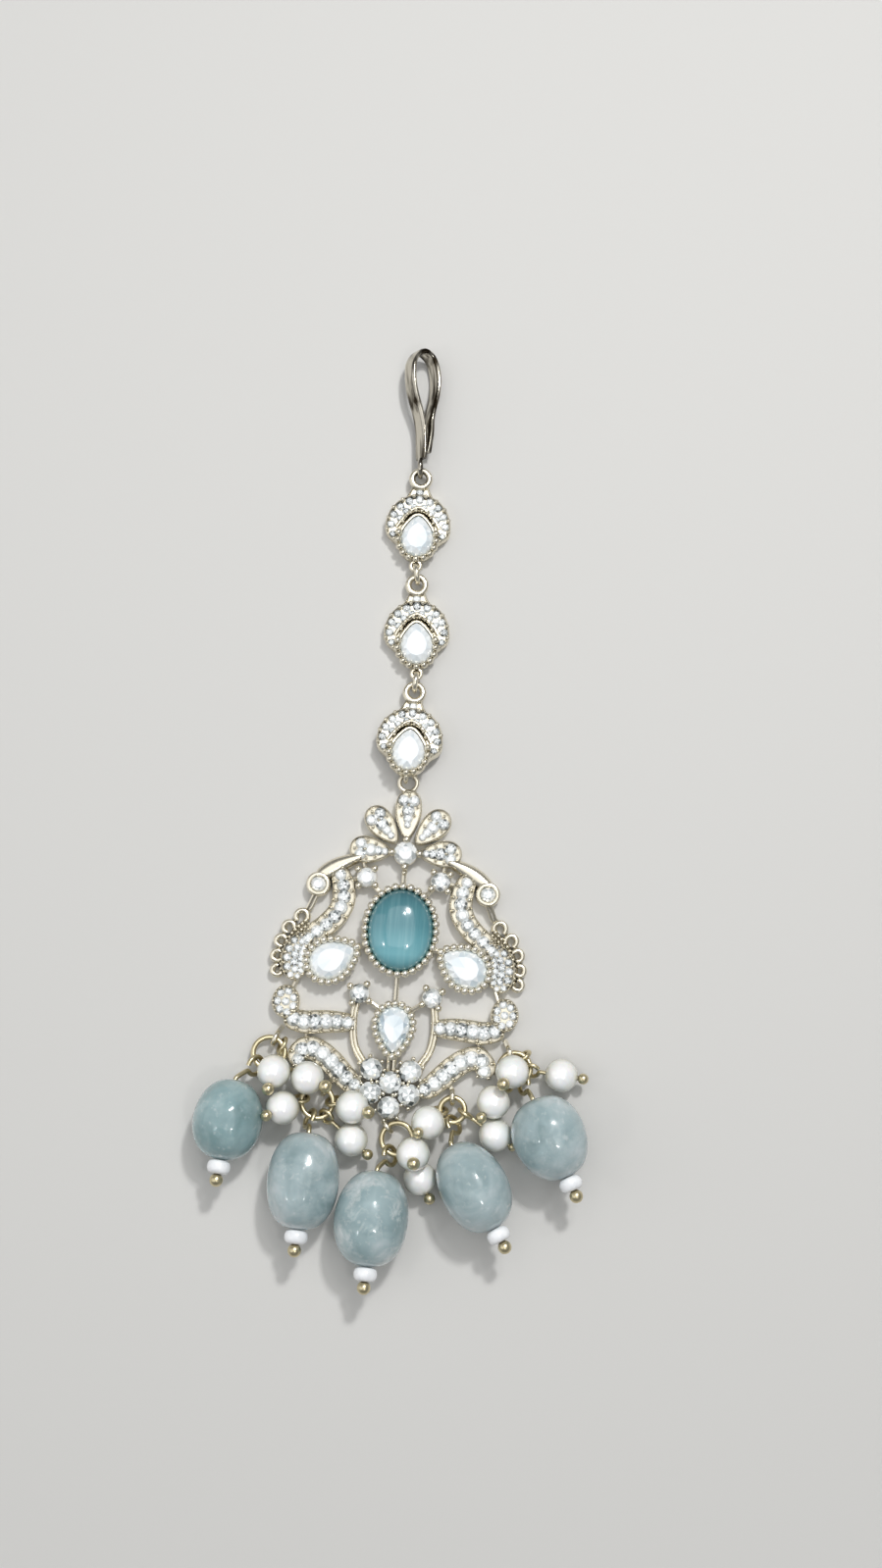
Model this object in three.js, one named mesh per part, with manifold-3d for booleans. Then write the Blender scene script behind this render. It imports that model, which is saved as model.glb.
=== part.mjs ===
// A maang tikka lying on its back: a hair hook, three jewelled links, a plaque with two peacocks and a
// flower, and five clusters of stone and pearl drops. Millimetres, +Z up, the hook towards +Y.
import * as THREE from 'three';
import { mergeVertices } from 'three/addons/utils/BufferGeometryUtils.js';
import Module from 'manifold-3d';

const wasm = await Module();
wasm.setup();

// Heights in the cast metal, from the flat back
const bandTop = 1.35;
const rimTop = 1.7;
const bezelTop = 1.9;
const seatFloor = 0.55;
const strutTop = 0.8;
const prongTop = 2.15;

// Stones and their seats
const seatGap = 0.12;
const bezelWall = 0.42;
const beadBulge = 0.2;
const tableShare = 0.58;
const crownShare = 0.3;
const stoneSunk = 0.15;
const stoneSides = 8;

// Wire
const prongRadius = 0.28;
const prongSides = 4;
const strutWidth = 0.6;
const wireSides = 5;
const ringSides = 10;
const eyeSides = 9;
const washerSides = 8;
const holeSides = 6;
const ringWire = 0.28;
const hangWire = 0.25;
const hangRadius = 0.82;
const hangHeight = 1.08;
const linkWire = 0.28;

// Plaque place and turn; its own centre is the cat's eye
const plaqueX = 1.01;
const plaqueY = -14.15;
const plaqueTurn = -3.7;
const catsEyeWidth = 8;
const catsEyeLength = 10;
const catsEyeBeads = 29;
const catsEyeSides = 20;
const topEyeX = -0.25;
const topEyeY = 18.2;
const topEyeRadius = 1.1;
const topEyeWire = 0.25;
const topEyeHeight = 1.05;

// Flower: its middle stone and five petals, each from its tip to its round end
const flowerY = 9.44;
const flowerStone = 2.9;
const petalRound = 1.6;
const petalRim = 0.3;
const petalFrom = 1.15;
const petals = [
  { angle: 2.5, to: 6.9 },
  { angle: 47.5, to: 7.2 },
  { angle: 90, to: 7.9 },
  { angle: 132.5, to: 7.2 },
  { angle: 177.5, to: 6.9 },
];
const petalStone = { back: 1.8, width: 1.9 };

// Right half of the plaque; every row is mirrored to the left
const crest = [
  { x: 5.9, y: 8.55, width: 0.8 },
  { x: 7.7, y: 7.7, width: 0.95 },
  { x: 9.3, y: 6.95, width: 0.9 },
  { x: 10.2, y: 6.1, width: 0.8 },
];
const neck = [
  { x: 7.9, y: 7.4, width: 1.1 },
  { x: 7.6, y: 6.0, width: 1.6 },
  { x: 7.1, y: 4.6, width: 2.0 },
  { x: 7.0, y: 3.05, width: 2.1 },
  { x: 7.6, y: 1.6, width: 2.1 },
  { x: 8.7, y: 0.4, width: 2.1 },
  { x: 10.1, y: -0.75, width: 2.1 },
  { x: 11.4, y: -1.9, width: 2.0 },
];
const beak = [
  { x: 10.6, y: 3.9, width: 0.8 },
  { x: 11.2, y: 2.8, width: 0.65 },
  { x: 11.6, y: 1.6, width: 0.5 },
];
const wing = [
  { x: 11.2, y: -1.5, width: 1.8 },
  { x: 12.4, y: -2.9, width: 2.9 },
  { x: 12.6, y: -4.5, width: 3.2 },
  { x: 12.2, y: -6.1, width: 2.9 },
  { x: 11.5, y: -7.3, width: 1.6 },
];
const lobe = [
  { x: 13.0, y: -7.75, width: 1.5 },
  { x: 13.25, y: -8.6, width: 2.9 },
  { x: 13.35, y: -9.6, width: 3.1 },
  { x: 13.45, y: -11.0, width: 2.5 },
  { x: 13.45, y: -12.1, width: 2.1 },
  { x: 13.4, y: -13.0, width: 1.5 },
];
const sideBand = [
  { x: 13.2, y: -11.9, width: 2.0 },
  { x: 11.5, y: -11.85, width: 2.3 },
  { x: 9.0, y: -11.6, width: 2.4 },
  { x: 7.0, y: -11.5, width: 2.2 },
  { x: 5.1, y: -11.55, width: 1.6 },
];
const lowerScroll = [
  { x: 3.3, y: -19.2, width: 1.3 },
  { x: 4.4, y: -18.85, width: 1.8 },
  { x: 5.8, y: -17.7, width: 2.2 },
  { x: 7.4, y: -16.2, width: 2.4 },
  { x: 9.0, y: -15.1, width: 2.3 },
  { x: 10.4, y: -14.85, width: 2.2 },
  { x: 11.2, y: -15.6, width: 2.2 },
  { x: 11.05, y: -17.0, width: 1.6 },
];
const curvedWire = [
  { x: 4.75, y: -9.0, width: 0.75 },
  { x: 4.95, y: -10.8, width: 0.75 },
  { x: 4.9, y: -12.4, width: 0.75 },
  { x: 4.55, y: -14.2, width: 0.75 },
  { x: 3.3, y: -16.5, width: 0.75 },
];
const scallops = [
  { x: 12.15, y: 1.0 },
  { x: 13.6, y: -0.47 },
  { x: 14.55, y: -2.25 },
  { x: 14.9, y: -4.05 },
  { x: 14.8, y: -5.85 },
];
const scallopRadius = 1.08;
const scallopHole = 0.45;
const scallopTop = 1.1;
const wingStones = [
  { x: 12.75, y: -3.2, width: 1.7 },
  { x: 12.75, y: -5.4, width: 1.7 },
];
const headStone = { x: 10.37, y: 5.02, width: 2.1, collar: 1.5 };
const prongStones = [
  { x: 4.53, y: 6.2, width: 2.4, turn: 20 },
  { x: 4.4, y: -7.94, width: 2.4, turn: 10 },
];
const clusterStones = [
  { x: 2.38, y: -16.87, width: 2.3 },
  { x: 2.32, y: -19.67, width: 2.3 },
];
const middleStones = [
  { x: 0, y: -18.3, width: 2.3 },
  { x: 0, y: -21.3, width: 2.3 },
];
const clusterCollar = 1.55;
const struts = [
  { x: 2.9, y: 4.6, endX: 4.53, endY: 6.2 },
  { x: 4.53, y: 6.2, endX: 5.1, endY: 8.6 },
  { x: 5.6, y: 6.0, endX: 7.4, endY: 5.6 },
  { x: 4.1, y: -2.1, endX: 5.0, endY: -2.3 },
  { x: 2.6, y: -4.9, endX: 4.4, endY: -7.94 },
  { x: 5.2, y: -7.4, endX: 7.6, endY: -6.3 },
  { x: 12.1, y: -6.6, endX: 12.8, endY: -8.4 },
  { x: 10.4, y: -12.2, endX: 10.5, endY: -14.4 },
];
const middleStruts = [
  { x: 0, y: 5.6, endX: 0, endY: 8.2 },
  { x: 0, y: -5.6, endX: 0, endY: -9.3 },
  { x: -0.35, y: -14.6, endX: -0.35, endY: -17.5 },
  { x: 0.35, y: -14.6, endX: 0.35, endY: -17.5 },
];

// Pear stones: the round end's centre, its radius, the reach to the tip and the way the tip points
const sidePear = { x: 8.7, y: -4.4, radius: 2.05, reach: 3.83, turn: 60.3, beads: 17 };
const middlePear = { x: 0, y: -11.1, radius: 1.9, reach: 3.85, turn: 180, beads: 16 };
const linkPear = { x: 0, y: -1.5, radius: 1.9, reach: 3.0, turn: 0, beads: 15 };
const pearSides = 13;
const pearTop = 2.5;

// Link medallions, from the top eye's centre; half widths of the outline from the neck down
const linkOutline = [
  { y: 5.0, half: 0.7 },
  { y: 4.3, half: 1.05 },
  { y: 3.6, half: 1.8 },
  { y: 2.5, half: 2.9 },
  { y: 1.3, half: 3.65 },
  { y: 0.2, half: 3.95 },
  { y: -0.9, half: 3.75 },
  { y: -1.8, half: 3.2 },
  { y: -2.6, half: 2.3 },
  { y: -3.4, half: 1.2 },
];
const linkEyeY = 6.05;
const linkEyeRadius = 1.2;
const linkEyeHeight = 1.45;
const linkLoopY = -4.7;
const linkLoopRadius = 0.7;
const linkLoopHeight = 1.45;
const linkStoneCount = 6;
const linkStoneRing = 3.12;
const linkStoneWidth = 1.45;
const linkStoneArc = { from: -24, to: 204 };
const slitInner = 0.62;
const slitOuter = 0.95;
const slitBridge = 0.35;
const links = [
  { x: 3.42, y: 42.6, turn: -3.3, pitch: 0 },
  { x: 2.95, y: 28.9, turn: -0.2, pitch: 0 },
  { x: 2.67, y: 15.25, turn: -5.4, pitch: 8 },
];
const underLoopY = -4.15;
const underLoopRadius = 0.85;
const underLoopHeight = -0.2;
const chainRingRadius = 1.2;
const chainRingWire = 0.25;

// Hair hook: centre line of the strip in its own plane, then its roll about the length
const hookStrip = 2.2;
const hookThick = 0.5;
const hookRoll = 35;
const hookX = 4.35;
const hookY = 45.9;
const hookZ = 1.25;
const hookLine = [
  { x: -0.3, y: -0.95 },
  { x: -0.3, y: 1.4 },
  { x: -0.36, y: 2.98 },
  { x: -0.58, y: 4.2 },
  { x: -0.87, y: 5.2 },
  { x: -1.31, y: 6.45 },
  { x: -1.74, y: 7.94 },
  { x: -1.95, y: 9.8 },
  { x: -1.8, y: 11.4 },
  { x: -1.05, y: 12.6 },
  { x: -0.1, y: 13.05 },
  { x: 0.75, y: 12.7 },
  { x: 1.45, y: 11.8 },
  { x: 1.82, y: 10.4 },
  { x: 1.82, y: 8.56 },
  { x: 1.45, y: 6.7 },
  { x: 1.09, y: 5.46 },
  { x: 0.85, y: 4.2 },
  { x: 0.94, y: 2.98 },
  { x: 0.9, y: 1.74 },
  { x: 0.73, y: 0.1 },
];
const hookEye = { x: 3.35, y: 44.15, z: 1.5, radius: 1.0, wire: 0.22 };

// Drop rings: the hanging point on the plaque, the way the ring lies and its radius
const ringPitch = 8;
const dropRings = [
  { x: -14.2, y: -13.95, heading: -112.6, radius: 1.9, rootX: -13.45, rootY: -12.4 },
  { x: -7.6, y: -19.6, heading: -125, radius: 1.9, rootX: -6.7, rootY: -17.2 },
  { x: 0, y: -23.55, heading: -50, radius: 1.9, rootX: 0, rootY: -22.1 },
  { x: 7.6, y: -19.6, heading: -90, radius: 1.5, rootX: 6.7, rootY: -17.2 },
  { x: 14.2, y: -13.95, heading: -73, radius: 1.9, rootX: 13.45, rootY: -12.4 },
];

// Drops: the ring, the grip angle on it from its far end, the lean of the pin's eye and the bead's centre
const beadKind = { eye: 0.95, wire: 0.25, inset: 0.2, hole: 0.45, ball: 0.75, below: 1.75, sides: 12, rows: 7 };
const pearlKind = { eye: 0.84, wire: 0.22, inset: 0.08, hole: 0.42, ball: 0.6, below: 0.05, sides: 10, rows: 4 };
const beadFullness = 0.8;
const beadPitch = 7;
const neckLength = 0.25;
const eyeOpen = 305;
const pearlWidth = 4;
const beads = [
  { ring: 0, grip: -32, lean: -28, heading: -99.3, x: -19.32, y: -36.7, z: 4.25, length: 10.2, width: 8.3 },
  { ring: 1, grip: 18, lean: 1, heading: -96.1, x: -10.33, y: -43.82, z: 4.32, length: 11.6, width: 8.4 },
  { ring: 2, grip: -70, lean: 2, heading: -96.1, x: -2.2, y: -48.12, z: 4.76, length: 11.5, width: 8.8 },
  { ring: 3, grip: -4, lean: 33, heading: -62, x: 9.74, y: -44.47, z: 4.77, length: 11.2, width: 8.2 },
  { ring: 4, grip: 13, lean: -35, heading: -66.2, x: 18.86, y: -38.87, z: 4.63, length: 10.2, width: 8.6 },
];
const pearls = [
  { ring: 0, grip: 146, lean: 4, x: -13.98, y: -31.07, z: 3.81 },
  { ring: 0, grip: 80, lean: -32, x: -9.99, y: -31.84, z: 3.42 },
  { ring: 1, grip: -69, lean: -21, x: -12.9, y: -35.34, z: 3.66 },
  { ring: 1, grip: 130, lean: -4, x: -4.63, y: -35.29, z: 3.27 },
  { ring: 1, grip: 57, lean: -5, x: -4.77, y: -39.16, z: 2 },
  { ring: 2, grip: -1, lean: -28, x: 3.42, y: -43.71, z: 2 },
  { ring: 2, grip: 36, lean: -4, x: 2.65, y: -40.7, z: 4.61 },
  { ring: 3, grip: -87, lean: -12, x: 4.41, y: -37.1, z: 3.89 },
  { ring: 3, grip: 72, lean: 11, x: 12.42, y: -38.63, z: 2 },
  { ring: 4, grip: -41, lean: 34, x: 12.2, y: -34.72, z: 3.08 },
  { ring: 4, grip: 118, lean: 16, x: 14.43, y: -31.12, z: 3.9 },
  { ring: 4, grip: 76, lean: 11, x: 20.39, y: -31.59, z: 2.02 },
];

const paleGilt = { color: '#d9cba8', roughness: 0.3, metalness: 1 };
const darkGilt = { color: '#a5936a', roughness: 0.38, metalness: 1 };
const clearStone = { color: '#eef2f4', roughness: 0.08, metalness: 0 };
const tealStone = { color: '#5f9ca2', roughness: 0.15, metalness: 0 };
const aquaStone = { color: '#93a6a6', roughness: 0.2, metalness: 0 };
const pearlWhite = { color: '#f1ebe1', roughness: 0.25, metalness: 0 };

const up = new THREE.Vector3(0, 0, 1);
const rad = THREE.MathUtils.degToRad;

// One closed body from a geometry, its shared corners welded.
function body(geometry) {
  const plain = geometry.clone();
  plain.deleteAttribute('normal');
  plain.deleteAttribute('uv');
  const welded = mergeVertices(plain);
  return new wasm.Manifold(new wasm.Mesh({
    numProp: 3,
    vertProperties: new Float32Array(welded.attributes.position.array),
    triVerts: new Uint32Array(welded.index.array),
  }));
}

function fuse(bodies) {
  return bodies.reduce((whole, piece) => whole.add(piece));
}

function moved(solid, matrix) {
  return solid.transform(matrix.toArray());
}

function mesh(name, solid, look) {
  const data = solid.getMesh();
  const geometry = new THREE.BufferGeometry();
  geometry.setAttribute('position', new THREE.BufferAttribute(new Float32Array(data.vertProperties), 3));
  geometry.setIndex(Array.from(data.triVerts));
  geometry.computeVertexNormals();
  const piece = new THREE.Mesh(geometry, new THREE.MeshStandardMaterial(look));
  piece.name = name;
  return piece;
}

// A flat outline raised from one height to another.
function slab(outline, from, to) {
  const geometry = new THREE.ExtrudeGeometry(new THREE.Shape(outline), { depth: to - from, bevelEnabled: false });
  geometry.translate(0, 0, from);
  return body(geometry);
}

// A closed solid through level rings of equal count, lowest first.
function loft(rings) {
  const count = rings[0].length;
  const last = (rings.length - 1) * count;
  const faces = [];
  for (let r = 0; r < last; r += count) {
    for (let i = 0; i < count; i += 1) {
      const next = (i + 1) % count;
      faces.push(r + i, r + next, r + count + next, r + i, r + count + next, r + count + i);
    }
  }
  for (let i = 1; i < count - 1; i += 1) {
    faces.push(0, i + 1, i, last, last + i, last + i + 1);
  }
  const geometry = new THREE.BufferGeometry().setFromPoints(rings.flat());
  geometry.setIndex(faces);
  return body(geometry);
}

// Turns an upright round solid about its length and stands its length along a direction.
function along(geometry, centre, direction) {
  geometry.applyQuaternion(new THREE.Quaternion().setFromUnitVectors(new THREE.Vector3(0, 1, 0), direction));
  geometry.translate(centre.x, centre.y, centre.z);
  return body(geometry);
}

function rod(start, end, radius) {
  const span = end.clone().sub(start);
  const geometry = new THREE.CylinderGeometry(radius, radius, span.length(), wireSides);
  return along(geometry, start.clone().addScaledVector(span, 0.5), span.normalize());
}

// Wire along a line of points, its section kept square to a lasting direction.
function wire(points, radius, lasting) {
  return loft(points.map((point, i) => {
    const before = points[Math.max(i - 1, 0)];
    const after = points[Math.min(i + 1, points.length - 1)];
    const heading = after.clone().sub(before).normalize();
    const high = lasting.clone().addScaledVector(heading, -lasting.dot(heading)).normalize();
    const wide = high.clone().cross(heading);
    return Array.from({ length: wireSides }, (_, k) => {
      const angle = (2 * Math.PI * k) / wireSides;
      return point.clone()
        .addScaledVector(wide, radius * Math.cos(angle))
        .addScaledVector(high, radius * Math.sin(angle));
    });
  }));
}

function ring(centre, normal, radius, wire, around = ringSides) {
  const geometry = new THREE.TorusGeometry(radius, wire, wireSides, around);
  geometry.applyQuaternion(new THREE.Quaternion().setFromUnitVectors(up, normal));
  geometry.translate(centre.x, centre.y, centre.z);
  return body(geometry);
}

// A flat ring with a round hole, centred on its thickness.
function washer(centre, normal, outer, hole, thick) {
  const shape = new THREE.Shape().absarc(0, 0, outer, 0, 2 * Math.PI, false);
  shape.holes.push(new THREE.Path(evenPoints(ovalPath(2 * hole, 2 * hole), holeSides).reverse()));
  const geometry = new THREE.ExtrudeGeometry(shape, { depth: thick, bevelEnabled: false, curveSegments: washerSides / 2 });
  geometry.translate(0, 0, -thick / 2);
  geometry.applyQuaternion(new THREE.Quaternion().setFromUnitVectors(up, normal));
  geometry.translate(centre.x, centre.y, centre.z);
  return body(geometry);
}

function post(x, y, radius, from, to, sides, topRadius = radius) {
  const geometry = new THREE.CylinderGeometry(topRadius, radius, to - from, sides);
  geometry.rotateX(Math.PI / 2);
  geometry.translate(x, y, (from + to) / 2);
  return body(geometry);
}

// A strut between two points of the back.
function strut({ x, y, endX, endY }) {
  const run = new THREE.Vector2(endX - x, endY - y);
  const side = new THREE.Vector2(-run.y, run.x).setLength(strutWidth / 2);
  const corners = [
    new THREE.Vector2(x + side.x, y + side.y),
    new THREE.Vector2(x - side.x, y - side.y),
    new THREE.Vector2(endX - side.x, endY - side.y),
    new THREE.Vector2(endX + side.x, endY + side.y),
  ];
  return slab(corners, 0, strutTop);
}

// A smooth spine through rows of place and width.
function spineOf(rows) {
  return new THREE.CatmullRomCurve3(rows.map((row) => new THREE.Vector3(row.x, row.y, row.width)));
}

// A band along a spine, half its width on either side.
function band(rows, from, to, steps) {
  const spine = spineOf(rows);
  const left = [];
  const right = [];
  for (let i = 0; i <= steps; i += 1) {
    const point = spine.getPoint(i / steps);
    const heading = spine.getTangent(i / steps);
    const side = new THREE.Vector2(-heading.y, heading.x).normalize();
    left.push(new THREE.Vector2(point.x, point.y).addScaledVector(side, point.z / 2));
    right.unshift(new THREE.Vector2(point.x, point.y).addScaledVector(side, -point.z / 2));
  }
  return slab([...left, ...right], from, to);
}

// A cut stone sunk in metal: crown facets round a flat table.
function cutStone(x, y, width, girdle, sides = stoneSides) {
  const radius = width / 2;
  return post(x, y, radius, girdle - stoneSunk, girdle + width * crownShare, sides, radius * tableShare);
}

// A row of stones along a band, each a share of the band's width.
function stonesAlong(rows, count, share, start, end) {
  const spine = spineOf(rows);
  return Array.from({ length: count }, (_, i) => {
    const point = spine.getPointAt(start + ((end - start) * i) / (count - 1));
    return cutStone(point.x, point.y, point.z * share, bandTop);
  });
}

// A round stone held by four prongs on a collar.
function prongStone({ x, y, width, turn }) {
  const reach = width / 2 + prongRadius / 2;
  const prongs = [0, 90, 180, 270].map((quarter) => {
    const angle = rad(quarter + turn);
    const tip = { x: x + reach * Math.cos(angle), y: y + reach * Math.sin(angle) };
    return post(tip.x, tip.y, prongRadius, 0, prongTop, prongSides);
  });
  return fuse([collarStone({ x, y, width }, width / 2, bandTop), ...prongs]);
}

// A round stone let into a plain collar.
function collarStone({ x, y, width }, collar, top) {
  const sections = [
    { radius: collar, height: 0 },
    { radius: collar, height: top },
    { radius: width / 2, height: top },
    { radius: (width / 2) * tableShare, height: top + width * crownShare },
  ];
  return loft(sections.map(({ radius, height }) => Array.from({ length: stoneSides }, (_, i) => {
    const angle = (2 * Math.PI * (i + 0.5)) / stoneSides;
    return new THREE.Vector3(x + radius * Math.cos(angle), y + radius * Math.sin(angle), height);
  })));
}

// A pear outline, the round end about the origin and the tip towards +Y.
function pearPath(radius, reach) {
  const open = Math.acos(radius / reach);
  const path = new THREE.Path();
  path.moveTo(0, reach);
  path.lineTo(-radius * Math.sin(open), radius * Math.cos(open));
  path.absarc(0, 0, radius, Math.PI / 2 + open, 2.5 * Math.PI - open, false);
  path.lineTo(0, reach);
  return path;
}

function ovalPath(width, length) {
  return new THREE.Path().absellipse(0, 0, width / 2, length / 2, 0, 2 * Math.PI, false);
}

function evenPoints(path, count) {
  return path.getSpacedPoints(count).slice(0, count);
}

function turned(points, { x, y, turn }) {
  const pivot = new THREE.Vector2();
  return points.map((point) => point.clone().rotateAround(pivot, rad(turn)).add(new THREE.Vector2(x, y)));
}

// An even outline with a bulge for each bead of its rim.
function beaded(path, beadCount) {
  const points = evenPoints(path, beadCount * 2);
  return points.map((point, i) => {
    const before = points[(i + points.length - 1) % points.length];
    const after = points[(i + 1) % points.length];
    const run = after.clone().sub(before).normalize();
    return point.clone().addScaledVector(new THREE.Vector2(run.y, -run.x), i % 2 === 0 ? 0 : beadBulge);
  });
}

function pearBezel(pear) {
  const outer = pearPath(pear.radius + bezelWall, pear.reach + bezelWall * 1.5);
  const rim = slab(turned(beaded(outer, pear.beads), pear), 0, bezelTop);
  const seat = pearPath(pear.radius + seatGap, pear.reach + seatGap * 1.5);
  return rim.subtract(slab(turned(evenPoints(seat, pearSides), pear), seatFloor, pearTop));
}

// A cut pear stone: a narrower foot, the girdle and the table.
function pearStone(pear) {
  const outline = evenPoints(pearPath(pear.radius, pear.reach), pearSides);
  const middle = new THREE.Vector2(0, (pear.reach - pear.radius) / 3);
  const sections = [
    { height: seatFloor + seatGap, share: 0.8 },
    { height: bezelTop - 0.15, share: 1 },
    { height: pearTop, share: tableShare },
  ];
  return loft(sections.map(({ height, share }) => {
    const scaled = outline.map((point) => point.clone().sub(middle).multiplyScalar(share).add(middle));
    return turned(scaled, pear).map((point) => new THREE.Vector3(point.x, point.y, height));
  }));
}

function catsEyeStone() {
  const outline = evenPoints(ovalPath(catsEyeWidth, catsEyeLength), catsEyeSides);
  const dome = [
    { height: seatFloor + seatGap, share: 0.95 },
    { height: 1.6, share: 1 },
    { height: 2.6, share: 0.9 },
    { height: 3.4, share: 0.68 },
    { height: 3.85, share: 0.35 },
  ];
  return loft(dome.map(({ height, share }) => outline.map(
    (point) => new THREE.Vector3(point.x * share, point.y * share, height),
  )));
}

function catsEyeBezel() {
  const outer = ovalPath(catsEyeWidth + 2 * bezelWall, catsEyeLength + 2 * bezelWall);
  const rim = slab(beaded(outer, catsEyeBeads), 0, bezelTop + 0.2);
  const seat = ovalPath(catsEyeWidth + 2 * seatGap, catsEyeLength + 2 * seatGap);
  return rim.subtract(slab(evenPoints(seat, catsEyeSides), seatFloor, prongTop + 1));
}

// A petal: a pear tray with a raised rim and a stone, the tip at the flower's middle.
function petal({ angle, to }) {
  const reach = to - petalRound - petalFrom;
  const place = {
    x: (to - petalRound) * Math.cos(rad(angle)),
    y: flowerY + (to - petalRound) * Math.sin(rad(angle)),
    turn: angle + 90,
  };
  const tray = slab(turned(evenPoints(pearPath(petalRound, reach), pearSides), place), 0, rimTop);
  const inner = pearPath(petalRound - petalRim, reach - petalRim * 2);
  const cut = slab(turned(evenPoints(inner, pearSides), place), bandTop, prongTop);
  const out = to - petalStone.back;
  const stoneY = flowerY + out * Math.sin(rad(angle));
  return tray.subtract(cut).add(cutStone(out * Math.cos(rad(angle)), stoneY, petalStone.width, bandTop));
}

function scallop({ x, y }) {
  return washer(new THREE.Vector3(x, y, scallopTop / 2), up, scallopRadius, scallopHole, scallopTop);
}

function plaqueHalf() {
  return fuse([
    band(crest, 0, rimTop, 4),
    band(neck, 0, bandTop, 10),
    band(beak, 0, scallopTop, 2),
    band(wing, 0, bandTop, 6),
    band(lobe, 0, rimTop, 6),
    band(sideBand, 0, bandTop, 4),
    band(lowerScroll, 0, bandTop, 10),
    band(curvedWire, 0, bandTop, 5),
    collarStone(headStone, headStone.collar, rimTop),
    pearBezel(sidePear),
    ...stonesAlong(neck, 4, 0.8, 0.24, 0.86),
    ...stonesAlong(sideBand, 2, 0.74, 0.38, 0.72),
    ...stonesAlong(lowerScroll, 4, 0.78, 0.28, 0.88),
    ...wingStones.map(({ x, y, width }) => cutStone(x, y, width, bandTop)),
    ...scallops.map(scallop),
    ...prongStones.map(prongStone),
    ...clusterStones.map((stone) => collarStone(stone, clusterCollar, bandTop)),
    ...struts.map(strut),
    cutStone(lobe[2].x, lobe[2].y, lobe[2].width * 0.62, rimTop),
  ]);
}

const plaquePlace = new THREE.Matrix4().makeRotationZ(rad(plaqueTurn)).setPosition(plaqueX, plaqueY, 0);

function onPlaque(x, y, z) {
  return new THREE.Vector3(x, y, z).applyMatrix4(plaquePlace);
}

function pitched(heading, pitch) {
  const level = Math.cos(rad(pitch));
  return new THREE.Vector3(level * Math.cos(rad(heading)), level * Math.sin(rad(heading)), Math.sin(rad(pitch)));
}

// Where a drop ring hangs, its centre and the two directions of its plane.
function ringFrame({ x, y, heading, radius }) {
  const hang = onPlaque(x, y, hangHeight);
  const out = pitched(heading, 0);
  const far = pitched(heading, ringPitch);
  const side = up.clone().cross(out);
  const centre = hang.clone().addScaledVector(far, radius);
  return { hang, out, far, side, centre, radius };
}

// The upright loop that holds a drop ring, on a short neck from the plaque's edge.
function hangLoop(row) {
  const { hang, side, out } = ringFrame(row);
  const root = onPlaque(row.rootX, row.rootY, strutTop);
  return washer(hang, side, hangRadius + hangWire, hangRadius - hangWire, 2 * hangWire)
    .add(rod(root, hang.clone().addScaledVector(out, -hangRadius), hangWire));
}

function plaque() {
  const half = plaqueHalf();
  const flower = collarStone({ x: 0, y: flowerY, width: flowerStone }, flowerStone * 0.56, bezelTop);
  const front = fuse([
    half,
    half.mirror([1, 0, 0]),
    catsEyeBezel(),
    pearBezel(middlePear),
    flower,
    ...petals.map(petal),
    ...middleStones.map((stone) => collarStone(stone, clusterCollar, bandTop)),
    ...middleStruts.map(strut),
    ring(new THREE.Vector3(topEyeX, topEyeY, topEyeHeight), up, topEyeRadius, topEyeWire),
  ]);
  return fuse([moved(front, plaquePlace), ...dropRings.map(hangLoop)]);
}

// A link's place: turned on the surface and tipped up at its lower end, about the top eye.
function linkPlace({ x, y, turn, pitch }) {
  return new THREE.Matrix4().makeTranslation(x, y, 0)
    .multiply(new THREE.Matrix4().makeRotationZ(rad(turn)))
    .multiply(new THREE.Matrix4().makeTranslation(0, 0, linkEyeHeight))
    .multiply(new THREE.Matrix4().makeRotationX(rad(-pitch)))
    .multiply(new THREE.Matrix4().makeTranslation(0, -linkEyeY, -linkEyeHeight));
}

function linkLoop(last) {
  if (last) {
    const centre = new THREE.Vector3(0, underLoopY, underLoopHeight);
    return ring(centre, new THREE.Vector3(1, 0, 0), underLoopRadius, hangWire);
  }
  const centre = new THREE.Vector3(0, linkLoopY, linkLoopHeight);
  return washer(centre, up, linkLoopRadius + hangWire, linkLoopRadius - hangWire, 2 * hangWire);
}

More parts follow.
